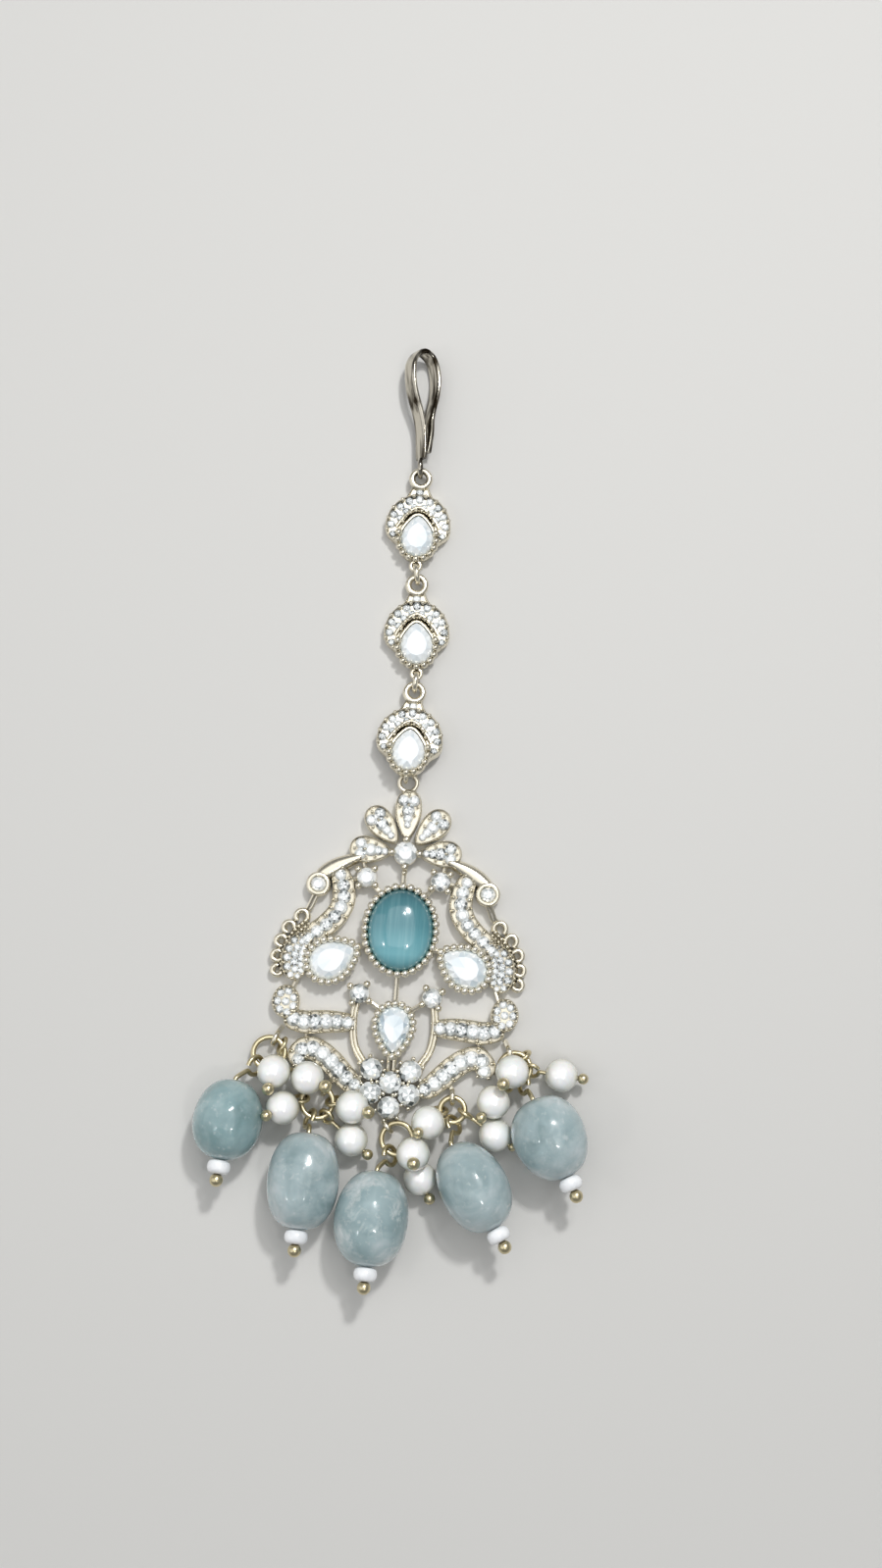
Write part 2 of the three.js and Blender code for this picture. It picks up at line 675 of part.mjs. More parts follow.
function linkSetting(last) {
  const right = linkOutline.map(({ y, half }) => new THREE.Vector2(half, y));
  const left = linkOutline.map(({ y, half }) => new THREE.Vector2(-half, y)).reverse();
  const plate = slab([...right, ...left], 0, bandTop);
  const slitEdge = (margin) => evenPoints(pearPath(linkPear.radius + margin, linkPear.reach + margin * 1.5), 24);
  const below = linkPear.y - linkPear.radius - 2;
  const lower = [
    new THREE.Vector2(-5, below),
    new THREE.Vector2(5, below),
    new THREE.Vector2(5, linkPear.y + linkPear.radius * 0.6),
    new THREE.Vector2(-5, linkPear.y + linkPear.radius * 0.6),
  ];
  const bridge = [
    new THREE.Vector2(-slitBridge, 0),
    new THREE.Vector2(slitBridge, 0),
    new THREE.Vector2(slitBridge, linkEyeY),
    new THREE.Vector2(-slitBridge, linkEyeY),
  ];
  const slit = slab(turned(slitEdge(slitOuter), linkPear), -1, pearTop)
    .subtract(slab(turned(slitEdge(slitInner), linkPear), -2, pearTop + 1))
    .subtract(slab(lower, -2, pearTop + 1))
    .subtract(slab(bridge, -2, pearTop + 1));
  const stones = Array.from({ length: linkStoneCount }, (_, i) => {
    const share = i / (linkStoneCount - 1);
    const angle = rad(linkStoneArc.from + (linkStoneArc.to - linkStoneArc.from) * share);
    return cutStone(linkStoneRing * Math.cos(angle), linkStoneRing * Math.sin(angle), linkStoneWidth, bandTop);
  });
  const seat = pearPath(linkPear.radius + seatGap, linkPear.reach + seatGap * 1.5);
  const hollow = slab(turned(evenPoints(seat, pearSides), linkPear), seatFloor, pearTop);
  return fuse([
    plate.subtract(slit),
    pearBezel(linkPear),
    ...stones,
    ring(new THREE.Vector3(0, linkEyeY, linkEyeHeight), up, linkEyeRadius, linkWire),
    linkLoop(last),
  ]).subtract(hollow);
}

function hook() {
  const strip = band(hookLine.map((row) => ({ ...row, width: hookThick })), -hookStrip, 0, 22);
  const place = new THREE.Matrix4().makeTranslation(hookX, hookY, hookZ + hookStrip * Math.cos(rad(hookRoll)))
    .multiply(new THREE.Matrix4().makeRotationY(rad(hookRoll)));
  const eyeCentre = new THREE.Vector3(hookEye.x, hookEye.y, hookEye.z);
  const eye = ring(eyeCentre, new THREE.Vector3(1, 0, 0), hookEye.radius, hookEye.wire);
  return moved(strip, place).add(eye);
}

// A drilled bead: its profile runs up the outside and back down the hole.
function drilled(length, width, kind, fullness) {
  const steep = Math.acos((2 * kind.hole / width) ** (1 / fullness));
  const profile = Array.from({ length: kind.rows + 1 }, (_, i) => {
    const angle = steep * ((2 * i) / kind.rows - 1);
    return new THREE.Vector2(Math.cos(angle) ** fullness * (width / 2), Math.sin(angle) * (length / 2));
  });
  return new THREE.LatheGeometry([...profile, profile[0].clone()], kind.sides);
}

// A bead on its pin: an open eye holds the ring, then the wire runs through the bead to a ball. A bead with
// its own heading lies flat, and its pin bends at the neck.
function drop(row, kind, length, width, fullness) {
  const frame = ringFrame(dropRings[row.ring]);
  const grip = rad(row.grip);
  const point = frame.centre.clone()
    .addScaledVector(frame.far, frame.radius * Math.cos(grip))
    .addScaledVector(frame.side, frame.radius * Math.sin(grip));
  const tangent = frame.side.clone().multiplyScalar(Math.cos(grip)).addScaledVector(frame.far, -Math.sin(grip));
  const centre = new THREE.Vector3(row.x, row.y, row.z);
  const bent = row.heading !== undefined;
  const lie = bent ? pitched(row.heading, beadPitch) : centre.clone().sub(point).normalize();
  const neckPoint = centre.clone().addScaledVector(lie, -length / 2 - neckLength);
  const pull = neckPoint.clone().sub(point).normalize();
  const eyeNormal = pull.clone().cross(tangent.clone().cross(pull)).normalize().applyAxisAngle(pull, rad(row.lean));
  const eyeSide = eyeNormal.clone().cross(pull);
  const eyeCentre = point.clone().addScaledVector(pull, kind.inset);
  const eye = Array.from({ length: eyeSides }, (_, i) => {
    const angle = rad(eyeOpen) * (1 - i / (eyeSides - 1));
    return eyeCentre.clone()
      .addScaledVector(pull, kind.eye * Math.cos(angle))
      .addScaledVector(eyeSide, kind.eye * Math.sin(angle));
  });
  const end = centre.clone().addScaledVector(lie, length / 2 + kind.below + kind.ball * 0.9);
  const line = bent ? [...eye, neckPoint, end] : [...eye, end];
  const ball = new THREE.SphereGeometry(kind.ball, stoneSides, 3).translate(end.x, end.y, end.z);
  const pin = wire(line, kind.wire, eyeNormal).add(body(ball));
  return { bead: along(drilled(length, width, kind, fullness), centre, lie), pin };
}

const jewel = new THREE.Group();
jewel.add(mesh('hook', hook(), paleGilt));
links.forEach((link, i) => {
  const place = linkPlace(link);
  jewel.add(mesh(`link_${i + 1}`, moved(linkSetting(i === links.length - 1), place), paleGilt));
  jewel.add(mesh(`link_stone_${i + 1}`, moved(pearStone(linkPear), place), clearStone));
});
links.slice(1).forEach((link, i) => {
  const loop = new THREE.Vector3(0, linkLoopY, linkLoopHeight).applyMatrix4(linkPlace(links[i]));
  const eye = new THREE.Vector3(0, linkEyeY + linkEyeRadius, linkEyeHeight).applyMatrix4(linkPlace(link));
  const run = eye.clone().sub(loop).normalize();
  const normal = run.clone().cross(up).normalize();
  const centre = loop.clone().addScaledVector(run, chainRingRadius);
  centre.z = Math.max(centre.z, chainRingRadius + chainRingWire);
  jewel.add(mesh(`chain_ring_${i + 1}`, ring(centre, normal, chainRingRadius, chainRingWire), paleGilt));
});
jewel.add(mesh('plaque', plaque(), paleGilt));
jewel.add(mesh('cats_eye', moved(catsEyeStone(), plaquePlace), tealStone));
jewel.add(mesh('pear_right', moved(pearStone(sidePear), plaquePlace), clearStone));
jewel.add(mesh('pear_left', moved(pearStone(sidePear).mirror([1, 0, 0]), plaquePlace), clearStone));
jewel.add(mesh('pear_centre', moved(pearStone(middlePear), plaquePlace), clearStone));
dropRings.forEach((row, i) => {
  const { centre, far, side, radius } = ringFrame(row);
  jewel.add(mesh(`drop_ring_${i + 1}`, ring(centre, far.clone().cross(side), radius, ringWire), darkGilt));
});
beads.forEach((row, i) => {
  const { bead, pin } = drop(row, beadKind, row.length, row.width, beadFullness);
  jewel.add(mesh(`bead_${i + 1}`, bead, aquaStone));
  jewel.add(mesh(`bead_pin_${i + 1}`, pin, darkGilt));
});
pearls.forEach((row, i) => {
  const { bead, pin } = drop(row, pearlKind, pearlWidth, pearlWidth, 1);
  jewel.add(mesh(`pearl_${i + 1}`, bead, pearlWhite));
  jewel.add(mesh(`pearl_pin_${i + 1}`, pin, darkGilt));
});

// The origin is the middle of the foot of the whole jewel.
const bounds = new THREE.Box3().setFromObject(jewel);
const middle = bounds.getCenter(new THREE.Vector3());
jewel.position.set(-middle.x, -middle.y, -bounds.min.z);
jewel.updateMatrixWorld(true);
const part = new THREE.Group();
part.add(jewel);

export default part;
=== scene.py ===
from math import acos, atan2, cos, pi, radians, sin, sqrt
import bpy
import numpy as np
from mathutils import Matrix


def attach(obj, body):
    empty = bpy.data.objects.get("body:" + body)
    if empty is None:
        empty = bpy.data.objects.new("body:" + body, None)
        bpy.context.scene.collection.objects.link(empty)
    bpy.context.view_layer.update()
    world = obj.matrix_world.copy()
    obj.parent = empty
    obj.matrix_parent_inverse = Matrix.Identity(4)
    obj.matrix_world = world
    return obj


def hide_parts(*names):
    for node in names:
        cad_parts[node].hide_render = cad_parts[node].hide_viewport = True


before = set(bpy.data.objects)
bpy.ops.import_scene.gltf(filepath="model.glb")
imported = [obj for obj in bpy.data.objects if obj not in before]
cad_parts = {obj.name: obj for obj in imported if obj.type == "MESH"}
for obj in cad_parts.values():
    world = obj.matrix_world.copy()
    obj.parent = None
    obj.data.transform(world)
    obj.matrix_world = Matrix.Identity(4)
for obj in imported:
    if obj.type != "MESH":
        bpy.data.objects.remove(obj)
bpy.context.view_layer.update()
scene = bpy.context.scene

mm = 0.001
layShift = np.array([-0.0063, -1.1309, 0.0])  # from the jewel as laid out to its packed place, mm
upward = np.array([0.0, 0.0, 1.0])
anyTurn = 6.28  # random spins go up to a whole turn
rng = np.random.default_rng(7)


# sRGB hex to the linear colour that the shaders take
def hexColor(text):
    s = np.array([int(text[i:i + 2], 16) for i in (1, 3, 5)]) / 255.0
    linear = np.where(s <= 0.04045, s / 12.92, ((s + 0.055) / 1.055) ** 2.4)
    return (*linear.tolist(), 1.0)


# adds a node, sets its properties or input values, and links its inputs from (node, output)
def addNode(tree, kind, values={}, links={}):
    node = tree.nodes.new("ShaderNode" + kind)
    for key, value in values.items():
        if isinstance(key, str) and hasattr(node, key):
            setattr(node, key, value)
        else:
            node.inputs[key].default_value = value
    for key, (source, output) in links.items():
        tree.links.new(source.outputs[output], node.inputs[key])
    return node


# the next four return a (node, output) to link from
# a noise whose waves are about size mm long
def addNoise(tree, place, size, values={}):
    return addNode(tree, "TexNoise", {"Scale": 1 / (size * mm), **values}, {"Vector": place}), "Fac"


# a straight line from one range of a value to another, held at both ends
def addRange(tree, value, low, high, toLow=0.0, toHigh=1.0):
    limits = {"From Min": low, "From Max": high, "To Min": toLow, "To Max": toHigh}
    return addNode(tree, "MapRange", limits, {"Value": value}), 0


# from a colour towards a hex colour by a share
def addMix(tree, share, source, color, blend="MIX"):
    values = {"data_type": "RGBA", "blend_type": blend, 7: hexColor(color)}
    return addNode(tree, "Mix", values, {0: share, 6: source}), 2


# hex colours at stops along a value
def addRamp(tree, value, stops):
    node = addNode(tree, "ValToRGB", links={0: value})
    ramp = node.color_ramp.elements
    while len(ramp) < len(stops):
        ramp.new(0.5)
    for stop, (place, color) in zip(ramp, stops):
        stop.position = place
        stop.color = hexColor(color)
    return node, 0


# an empty material and the object coordinates to place its patterns by
def startMaterial(name):
    material = bpy.data.materials.new(name)
    material.use_nodes = True
    material.node_tree.nodes.clear()
    return material, material.node_tree, (addNode(material.node_tree, "TexCoord"), "Object")


def finishMaterial(material, values, links={}):
    shader = addNode(material.node_tree, "BsdfPrincipled", values, links)
    addNode(material.node_tree, "OutputMaterial", links={"Surface": (shader, 0)})
    return material


# cast gilt brass, polished on top, darkened by ambient occlusion in recesses and where parts crowd each other:
# partly an antique wash, partly painted shade; pale bright ridges, brown in the corners
def castGilt(name, bright, washAndShade, roughness, stretch=1.0, wearAndSheen=0.4, settle=0.5):
    material, tree, place = startMaterial(name)
    corner = addNode(tree, "AmbientOcclusion", {"samples": 6, "Distance": 0.42 * mm})
    drawn = addNode(tree, "Mapping", {"Scale": (1.0, stretch, 1.0)}, {"Vector": place})
    grain = addNoise(tree, (drawn, 0), 0.9, {"Detail": 3.0})
    # painted shade and antique wash: the less open a spot is to the scene, the more of the recess colour it takes
    bareAndLit = addRange(tree, (corner, "AO"), 0.2, 0.62)
    # a slow noise shifts the colour: wear on most metals; on the polished strip, strong and stretched, it paints
    # light and dark reflection streaks
    wornAndSheen = addNode(tree, "Math", {"operation": "MULTIPLY_ADD", 1: wearAndSheen, 2: -wearAndSheen * settle}, {0: grain})
    share = addNode(tree, "Math", {"operation": "ADD", "use_clamp": True}, {0: bareAndLit, 1: (wornAndSheen, 0)})
    color = addNode(tree, "Mix", {"data_type": "RGBA", 6: hexColor(washAndShade), 7: hexColor(bright)}, {0: (share, 0)})
    rough = addRange(tree, grain, 0.0, 1.0, roughness + 0.1, roughness - 0.05)
    skin = addNoise(tree, place, 0.25, {"Detail": 2.0})
    bump = addNode(tree, "Bump", {"Strength": 0.12, "Distance": 0.03 * mm}, {"Height": skin})
    return finishMaterial(material, {"Metallic": 1.0},
                          {"Base Color": (color, 2), "Roughness": rough, "Normal": (bump, 0)})


# cubic zirconia, cut and polished: each facet's colour is a painted reflection, from dim through bright to white
# by its own value
def zirconia(name, dim, bright, white, metallic):
    material, tree, _ = startMaterial(name)
    # painted reflections: a value for each facet picks its colour
    painted_glint = addNode(tree, "Attribute", {"attribute_name": "painted_glint"})
    tint = addRamp(tree, (painted_glint, "Fac"), [(0.0, dim), (0.35, bright), (0.7, white)])
    return finishMaterial(material, {"Metallic": metallic, "Roughness": 0.06, "IOR": 2.15}, {"Base Color": tint})


# fibre cat's-eye glass, ground to a dome: teal, streaked along its length, with a painted reflection band lighter
# across the lower part and darker at the top, dark towards the rim
def catsEyeGlass(centre, turn, half):
    material, tree, place = startMaterial("fibre_cats_eye_glass")
    local = addNode(tree, "Mapping", {"vector_type": "TEXTURE", "Location": (*(centre * mm), 0.0),
                                      "Rotation": (0.0, 0.0, radians(turn))}, {"Vector": place})
    parted = addNode(tree, "SeparateXYZ", links={0: (local, 0)})
    fibres = addNode(tree, "Mapping", {"Scale": (1 / (0.5 * mm), 1 / (9 * mm), 1.0)}, {"Vector": (local, 0)})
    streak = addNode(tree, "TexNoise", {"Scale": 1.0, "Detail": 3.0, "Roughness": 0.6}, {"Vector": (fibres, 0)})
    # painted reflection: the teal is lighter in a band across the lower part and darkens towards the top
    down = addRange(tree, (parted, "Y"), -half[1] * mm, half[1] * mm)
    body = addRamp(tree, down, [(0.0, "#4f8b95"), (0.2, "#7ab5bf"), (0.4, "#649fa9"),
                                (0.55, "#528a94"), (0.75, "#4c818a"), (1.0, "#336069")])
    pale = addRange(tree, (streak, "Fac"), 0.46, 0.78, 0.0, 0.18)
    streaked = addMix(tree, pale, body, "#b4dcdc")
    toOne = (1 / (half[0] * mm), 1 / (half[1] * mm), 0.0)  # makes the rim a circle of radius one
    oval = addNode(tree, "VectorMath", {"operation": "MULTIPLY", 1: toOne}, {0: (local, 0)})
    reach = addNode(tree, "VectorMath", {"operation": "LENGTH"}, {0: (oval, 0)})
    rim = addRange(tree, (reach, "Value"), 0.8, 1.0, 0.0, 0.3)
    color = addMix(tree, rim, streaked, "#234c53")
    return finishMaterial(material, {"Roughness": 0.16, "IOR": 1.52, "Coat Weight": 0.8, "Coat Roughness": 0.03},
                          {"Base Color": color})


# tumbled aqua quartz: milky, see-through a little way in, with clouds, white flecks that are partly inclusions
# and partly painted glints, and healed cracks
def tumbledQuartz():
    material, tree, place = startMaterial("tumbled_aqua_quartz")
    tone = addNode(tree, "Attribute", {"attribute_name": "tone"})
    veined = addNode(tree, "Attribute", {"attribute_name": "veined"})
    cloud = addNoise(tree, place, 4.6, {"Detail": 3.0, "Roughness": 0.55, "Distortion": 0.5})
    milk = addRamp(tree, cloud, [(0.3, "#9aafb1"), (0.45, "#b1c3c6"), (0.58, "#c2d1d4"), (0.72, "#dee7ea")])
    body = addMix(tree, (tone, "Fac"), milk, "#c3e0e0", "MULTIPLY")
    crack = addNoise(tree, place, 2.6, {"Detail": 6.0, "Roughness": 0.68, "Distortion": 0.4})
    vein = addRange(tree, crack, 0.5, 0.72)
    share = addNode(tree, "Math", {"operation": "MULTIPLY", "use_clamp": True}, {0: vein, 1: (veined, "Fac")})
    veins = addMix(tree, (share, 0), body, "#f2f7f7")
    # white flecks: partly inclusions, partly painted glints
    flecksAndGlints = addRange(tree, addNoise(tree, place, 0.8, {"Detail": 2.0}), 0.61, 0.78, 0.0, 0.34)
    color = addMix(tree, flecksAndGlints, veins, "#ffffff")
    wave = addNoise(tree, place, 1.9, {"Detail": 1.5})
    bump = addNode(tree, "Bump", {"Strength": 0.6, "Distance": 0.2 * mm}, {"Height": wave}), 0
    return finishMaterial(material, {
        "Roughness": 0.22, "IOR": 1.45, "Transmission Weight": 0.3, "Subsurface Weight": 0.9,
        "Subsurface Radius": (1.0, 1.12, 1.15), "Subsurface Scale": 5.0 * mm, "Coat Weight": 0.7,
        "Coat Roughness": 0.04}, {"Base Color": color, "Normal": bump, "Coat Normal": bump})


# shell pearl, dipped in lustre: white on top, with painted shade in olive cream underneath, with a soft sheen and
# faint warm clouds
def pearlLustre():
    material, tree, place = startMaterial("shell_pearl_lustre")
    cloud = addNoise(tree, place, 3.5, {"Detail": 2.0})
    color = addRamp(tree, cloud, [(0.35, "#f6f9f7"), (0.5, "#ffffff"), (0.68, "#fbf8f4")])
    # painted shade: the more a spot faces down, the more olive cream it takes
    form = addNode(tree, "NewGeometry")
    height = addNode(tree, "SeparateXYZ", links={0: (form, "Normal")})
    skin = addMix(tree, addRange(tree, (height, "Z"), 0.85, -0.1), color, "#aaa98c")
    return finishMaterial(material, {
        "Roughness": 0.27, "IOR": 1.9, "Subsurface Weight": 0.3, "Subsurface Radius": (1.0, 0.8, 0.6),
        "Subsurface Scale": 0.5 * mm, "Coat Weight": 1.0, "Coat IOR": 1.8, "Coat Roughness": 0.06},
        {"Base Color": skin})


# pressed white seed glass: opaque chalk white with a wet shine
def seedGlass():
    material, tree, place = startMaterial("pressed_white_seed_glass")
    color = addRamp(tree, addNoise(tree, place, 1.2), [(0.3, "#e9ebee"), (0.7, "#fafbfc")])
    return finishMaterial(material, {"Roughness": 0.18, "IOR": 1.52}, {"Base Color": color})


# directions brought to length one
def unit(v):
    return v / np.linalg.norm(v, axis=-1, keepdims=True)


# rows with one value added as a last column
def withColumn(rows, value):
    return np.column_stack([rows, np.full(len(rows), value)])


# even angles once round
def roundTurn(count):
    return np.linspace(0, 2 * pi, count, endpoint=False)


# quads over a grid whose columns run round; closing the rows joins the last to the first
def gridFaces(rows, columns, closeRows):
    u, v = np.meshgrid(np.arange(rows if closeRows else rows - 1), np.arange(columns), indexing="ij")
    un, vn = (u + 1) % rows, (v + 1) % columns
    corners = [u * columns + v, u * columns + vn, un * columns + vn, un * columns + v]
    return np.stack(corners, -1).reshape(-1, 4)


# turns a closed shape's faces outwards: its volume is the sum of corner tetrahedra, and a negative one is flipped
def outward(points, faceSets):
    volume = 0.0
    for faces in faceSets:
        a, b, c = points[faces[:, :1]], points[faces[:, 1:-1]], points[faces[:, 2:]]
        volume += np.sum(np.cross(a, b) * c)
    return (points, faceSets) if volume > 0 else (points, [faces[:, ::-1] for faces in faceSets])


# a closed solid from a grid whose columns run round: the first and last rows become flat ends
def tubeSolid(grid):
    rows, columns = grid.shape[:2]
    ends = np.stack([np.arange(columns), np.arange(columns) + (rows - 1) * columns])
    return outward(grid.reshape(-1, 3), [gridFaces(rows, columns, False), ends[:1, ::-1], ends[1:]])


# a closed solid from a grid that runs round both ways
def ringSolid(grid):
    return outward(grid.reshape(-1, 3), [gridFaces(*grid.shape[:2], True)])


# copies of one shape: every copy is the shape turned about its upright axis, sized and put at its centre
def copies(shape, centres, sizes, spins=0.0):
    points, faceSets = shape
    count = len(centres)
    spins = np.broadcast_to(spins, count)[:, None]
    c, s = np.cos(spins), np.sin(spins)
    x, y, z = points.T
    turned = np.stack([c * x - s * y, s * x + c * y, np.broadcast_to(z, (count, len(z)))], -1)
    placed = np.asarray(centres)[:, None] + turned * np.broadcast_to(sizes, count)[:, None, None]
    steps = np.arange(count)[:, None, None] * len(points)
    return placed.reshape(-1, 3), [(faces[None] + steps).reshape(-1, faces.shape[1]) for faces in faceSets]


# shapes with their points moved by a function
def mapped(parts, place):
    return [outward(place(points), faceSets) for points, faceSets in parts]


def mirrored(parts):
    return mapped(parts, lambda p: p * [-1, 1, 1])


# an object of the scene
def addObject(name, data):
    thing = bpy.data.objects.new(name, data)
    scene.collection.objects.link(thing)
    return thing


# one object from many closed shapes given in mm
def makePiece(name, parts, material, nodes=(), smooth=40.0, attributes={}):
    points = np.concatenate([p for p, _ in parts]) + layShift
    starts = np.cumsum([0] + [len(p) for p, _ in parts])
    faceSets = [faces + start for (_, sets), start in zip(parts, starts) for faces in sets]
    mesh = bpy.data.meshes.new(name)
    mesh.from_pydata((points * mm).tolist(), [], [face for faces in faceSets for face in faces.tolist()])
    if smooth > 0:
        mesh.shade_smooth()
        mesh.set_sharp_from_angle(angle=radians(smooth))
    for key, (domain, values) in attributes.items():
        layer = mesh.attributes.new(key, "FLOAT", domain).data
        layer.foreach_set("value", np.broadcast_to(values, len(layer)).astype(np.float32).copy())
    mesh.materials.append(material)
    piece = addObject(name, mesh)
    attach(piece, "root")
    if nodes:
        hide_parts(*nodes)


# the length walked along a line up to each of its points
def walked(line):
    return np.concatenate([[0], np.cumsum(np.linalg.norm(np.diff(line, axis=0), axis=1))])


# points of a line at even steps of its length, measured flat or in space
def evenly(line, count, flat=True):
    length = walked(line[:, :2] if flat else line)
    return np.stack([np.interp(np.linspace(0, length[-1], count), length, column) for column in line.T], -1)


# even steps round a closed outline
def evenLoop(outline, count):
    return evenly(np.concatenate([outline, outline[:1]]), count + 1)[:-1]


# a smooth line through rows: cubic pieces whose slopes come from the rows beside, evened out by length
def smoothLine(rows, count):
    p = np.asarray(rows, float)
    knots = walked(p[:, :2])
    slope = np.gradient(p, knots, axis=0)
    t = np.linspace(0, knots[-1], count * 8)
    i = np.clip(np.searchsorted(knots, t, side="right") - 1, 0, len(knots) - 2)
    h = (knots[i + 1] - knots[i])[:, None]
    s = (t - knots[i])[:, None] / h
    fine = ((2 * s**3 - 3 * s**2 + 1) * p[i] + (s**3 - 2 * s**2 + s) * h * slope[i]
            + (3 * s**2 - 2 * s**3) * p[i + 1] + (s**3 - s**2) * h * slope[i + 1])
    return evenly(fine, count)


# the way to the left of a flat line, square to its run
def leftSide(line):
    run = unit(np.gradient(line[:, :2], axis=0))
    return np.stack([-run[:, 1], run[:, 0]], -1)


# a profile carried along a flat line of (x, y, width), narrowed as a quarter circle over a rounded end
# profile rows are (share of the half width, inset mm, height mm)
def bandSolid(rows, profile, count, rounded=0.0):
    line = smoothLine(rows, count)
    profile = np.asarray(profile)
    half = line[:, 2:] / 2
    if rounded > 0:
        walk = np.linspace(0, walked(line[:, :2])[-1], count)
        near = np.minimum(np.minimum(walk, walk[-1] - walk) / rounded, 1.0)[:, None]
        half = half * np.sqrt(np.maximum(1 - (1 - near) ** 2, 0.04))
    across = np.sign(profile[:, 0]) * np.maximum(np.abs(profile[:, 0]) * half - profile[:, 1], 0.02)
    grid = np.concatenate([line[:, None, :2] + across[:, :, None] * leftSide(line)[:, None],
                           np.broadcast_to(profile[:, 2], across.shape)[:, :, None]], -1)
    return tubeSolid(grid)


# profile of a set band: upright walls, a rounded rim on both sides and a sunk floor for the stones
def setProfile(top, floor, rim):
    left = [(-1, 0, 0), (-1, 0, top - 0.2), (-1, 0.25 * rim, top - 0.04), (-1, 0.55 * rim, top),
            (-1, 0.85 * rim, top - 0.05), (-1, rim, floor)]
    return left + [(1, inset, height) for _, inset, height in left[::-1]]


# profile of a polished band: half an oval on short walls
def domeProfile(top, wall):
    a = np.linspace(pi, 0, 9)
    dome = np.stack([np.cos(a), np.zeros(9), top * (wall + (1 - wall) * np.sin(a))], -1)
    return np.concatenate([[(-1, 0, 0)], dome, [(1, 0, 0)]])


# wire along a line in space: a round section held square to a lasting direction
def wireSolid(line, radius, lasting, sides=10):
    run = unit(np.gradient(line, axis=0))
    high = unit(lasting - np.sum(run * lasting, -1, keepdims=True) * run)
    wide = np.cross(high, run)
    a = roundTurn(sides)[None, :, None]
    return tubeSolid(line[:, None] + radius * (np.cos(a) * wide[:, None] + np.sin(a) * high[:, None]))


# a round ring: a small circle carried round a large one
def wireRing(centre, normal, radius, wire, around=40):
    normal = unit(np.asarray(normal, float))
    first = unit(np.cross(normal, [0.3, 0.9, 0.2]))
    second = np.cross(normal, first)
    a, b = roundTurn(around)[:, None, None], roundTurn(12)[None, :, None]
    out = np.cos(a) * first + np.sin(a) * second
    return ringSolid(np.asarray(centre) + out * (radius + wire * np.cos(b)) + normal * wire * np.sin(b))


# a ball: circles of latitude between two small flat ends
def ballShape(around, levels):
    t = np.linspace(-0.47, 0.47, levels)[:, None, None] * pi
    a = roundTurn(around)[None, :, None]
    return tubeSolid(np.concatenate([np.cos(t) * np.cos(a), np.cos(t) * np.sin(a), np.sin(t) + 0 * a], -1))


grainShape = ballShape(9, 6)
roundBall = ballShape(20, 13)


# balls of one radius at one height
def grains(xy, height, radius, shape=grainShape):
    return copies(shape, withColumn(xy, height), radius)


# a turned shape about an upright axis: rows of (radius, height), closed at both ends
def turnedSolid(x, y, rows, around=24):
    rows = np.asarray(rows, float)
    a = roundTurn(around)
    grid = np.stack([x + rows[:, :1] * np.cos(a), y + rows[:, :1] * np.sin(a), rows[:, 1:] + 0 * a], -1)
    return tubeSolid(grid)


# a wall carried round a closed outline: profile rows are (offset outwards mm, height mm)
def walledSolid(outline, profile):
    run = unit(np.roll(outline, -1, 0) - np.roll(outline, 1, 0))
    out = np.stack([run[:, 1], -run[:, 0]], -1)
    profile = np.asarray(profile, float)
    grid = np.concatenate([outline[None] + profile[:, :1, None] * out[None],
                           np.broadcast_to(profile[:, 1:, None], (len(profile), len(outline), 1))], -1)
    return tubeSolid(grid)


# a flat line turned about the origin, then moved to its place
def turnedTo(line, place):
    a = radians(place["turn"])
    spin = np.array([[cos(a), sin(a)], [-sin(a), cos(a)]])
    return line @ spin + [place["x"], place["y"]]


pearCount, pearSwell, pearSoften = 96, 0.17, 34


# a pear outline anticlockwise from its tip: two tangents and the arc between, swelled by a sine and softened
def pearOutline(pear, grow=0.0):
    radius, reach = pear["radius"] + grow, pear["reach"] + 1.5 * grow
    openAngle = acos(radius / reach)
    straight = sqrt(reach**2 - radius**2)
    arc = radius * (2 * pi - 2 * openAngle)
    s = np.linspace(0, 2 * straight + arc, pearCount, endpoint=False)
    foot = radius * np.array([sin(openAngle), cos(openAngle)])
    tip = np.array([0.0, reach])
    angle = pi / 2 + openAngle + np.clip((s - straight) / radius, 0, arc / radius)
    onArc = radius * np.stack([np.cos(angle), np.sin(angle)], -1)
    first = tip + (s / straight)[:, None] * (foot * [-1, 1] - tip)
    last = foot + ((s - straight - arc) / straight)[:, None] * (tip - foot)
    line = np.where((s < straight)[:, None], first, np.where((s > straight + arc)[:, None], last, onArc))
    swell = pearSwell * radius * np.sin(pi * np.clip(line[:, 1] / reach, 0, 1))
    line = line + np.column_stack([np.sign(line[:, 0]) * swell, 0 * swell])
    for _ in range(pearSoften):
        line = (np.roll(line, 1, 0) + 2 * line + np.roll(line, -1, 0)) / 4
    return turnedTo(line, pear)


# an egg outline along +Y: an oval whose width grows with the sine of its height
def eggOutline(width, length):
    a = roundTurn(720)
    across = np.cos(a) * width / 2 * (1 + 0.34 * np.sin(a)) / 1.04
    return evenLoop(np.stack([across, np.sin(a) * length / 2], -1), 80)


# an oval outline: cosine and sine of a turn by its half sizes
def ovalOutline(width, length, count=120, grow=0.0):
    a = roundTurn(720)
    return evenLoop(np.stack([np.cos(a) * (width / 2 + grow), np.sin(a) * (length / 2 + grow)], -1), count)


# a circle of radius one
def roundOutline(count):
    a = roundTurn(count)
    return np.stack([np.cos(a), np.sin(a)], -1)


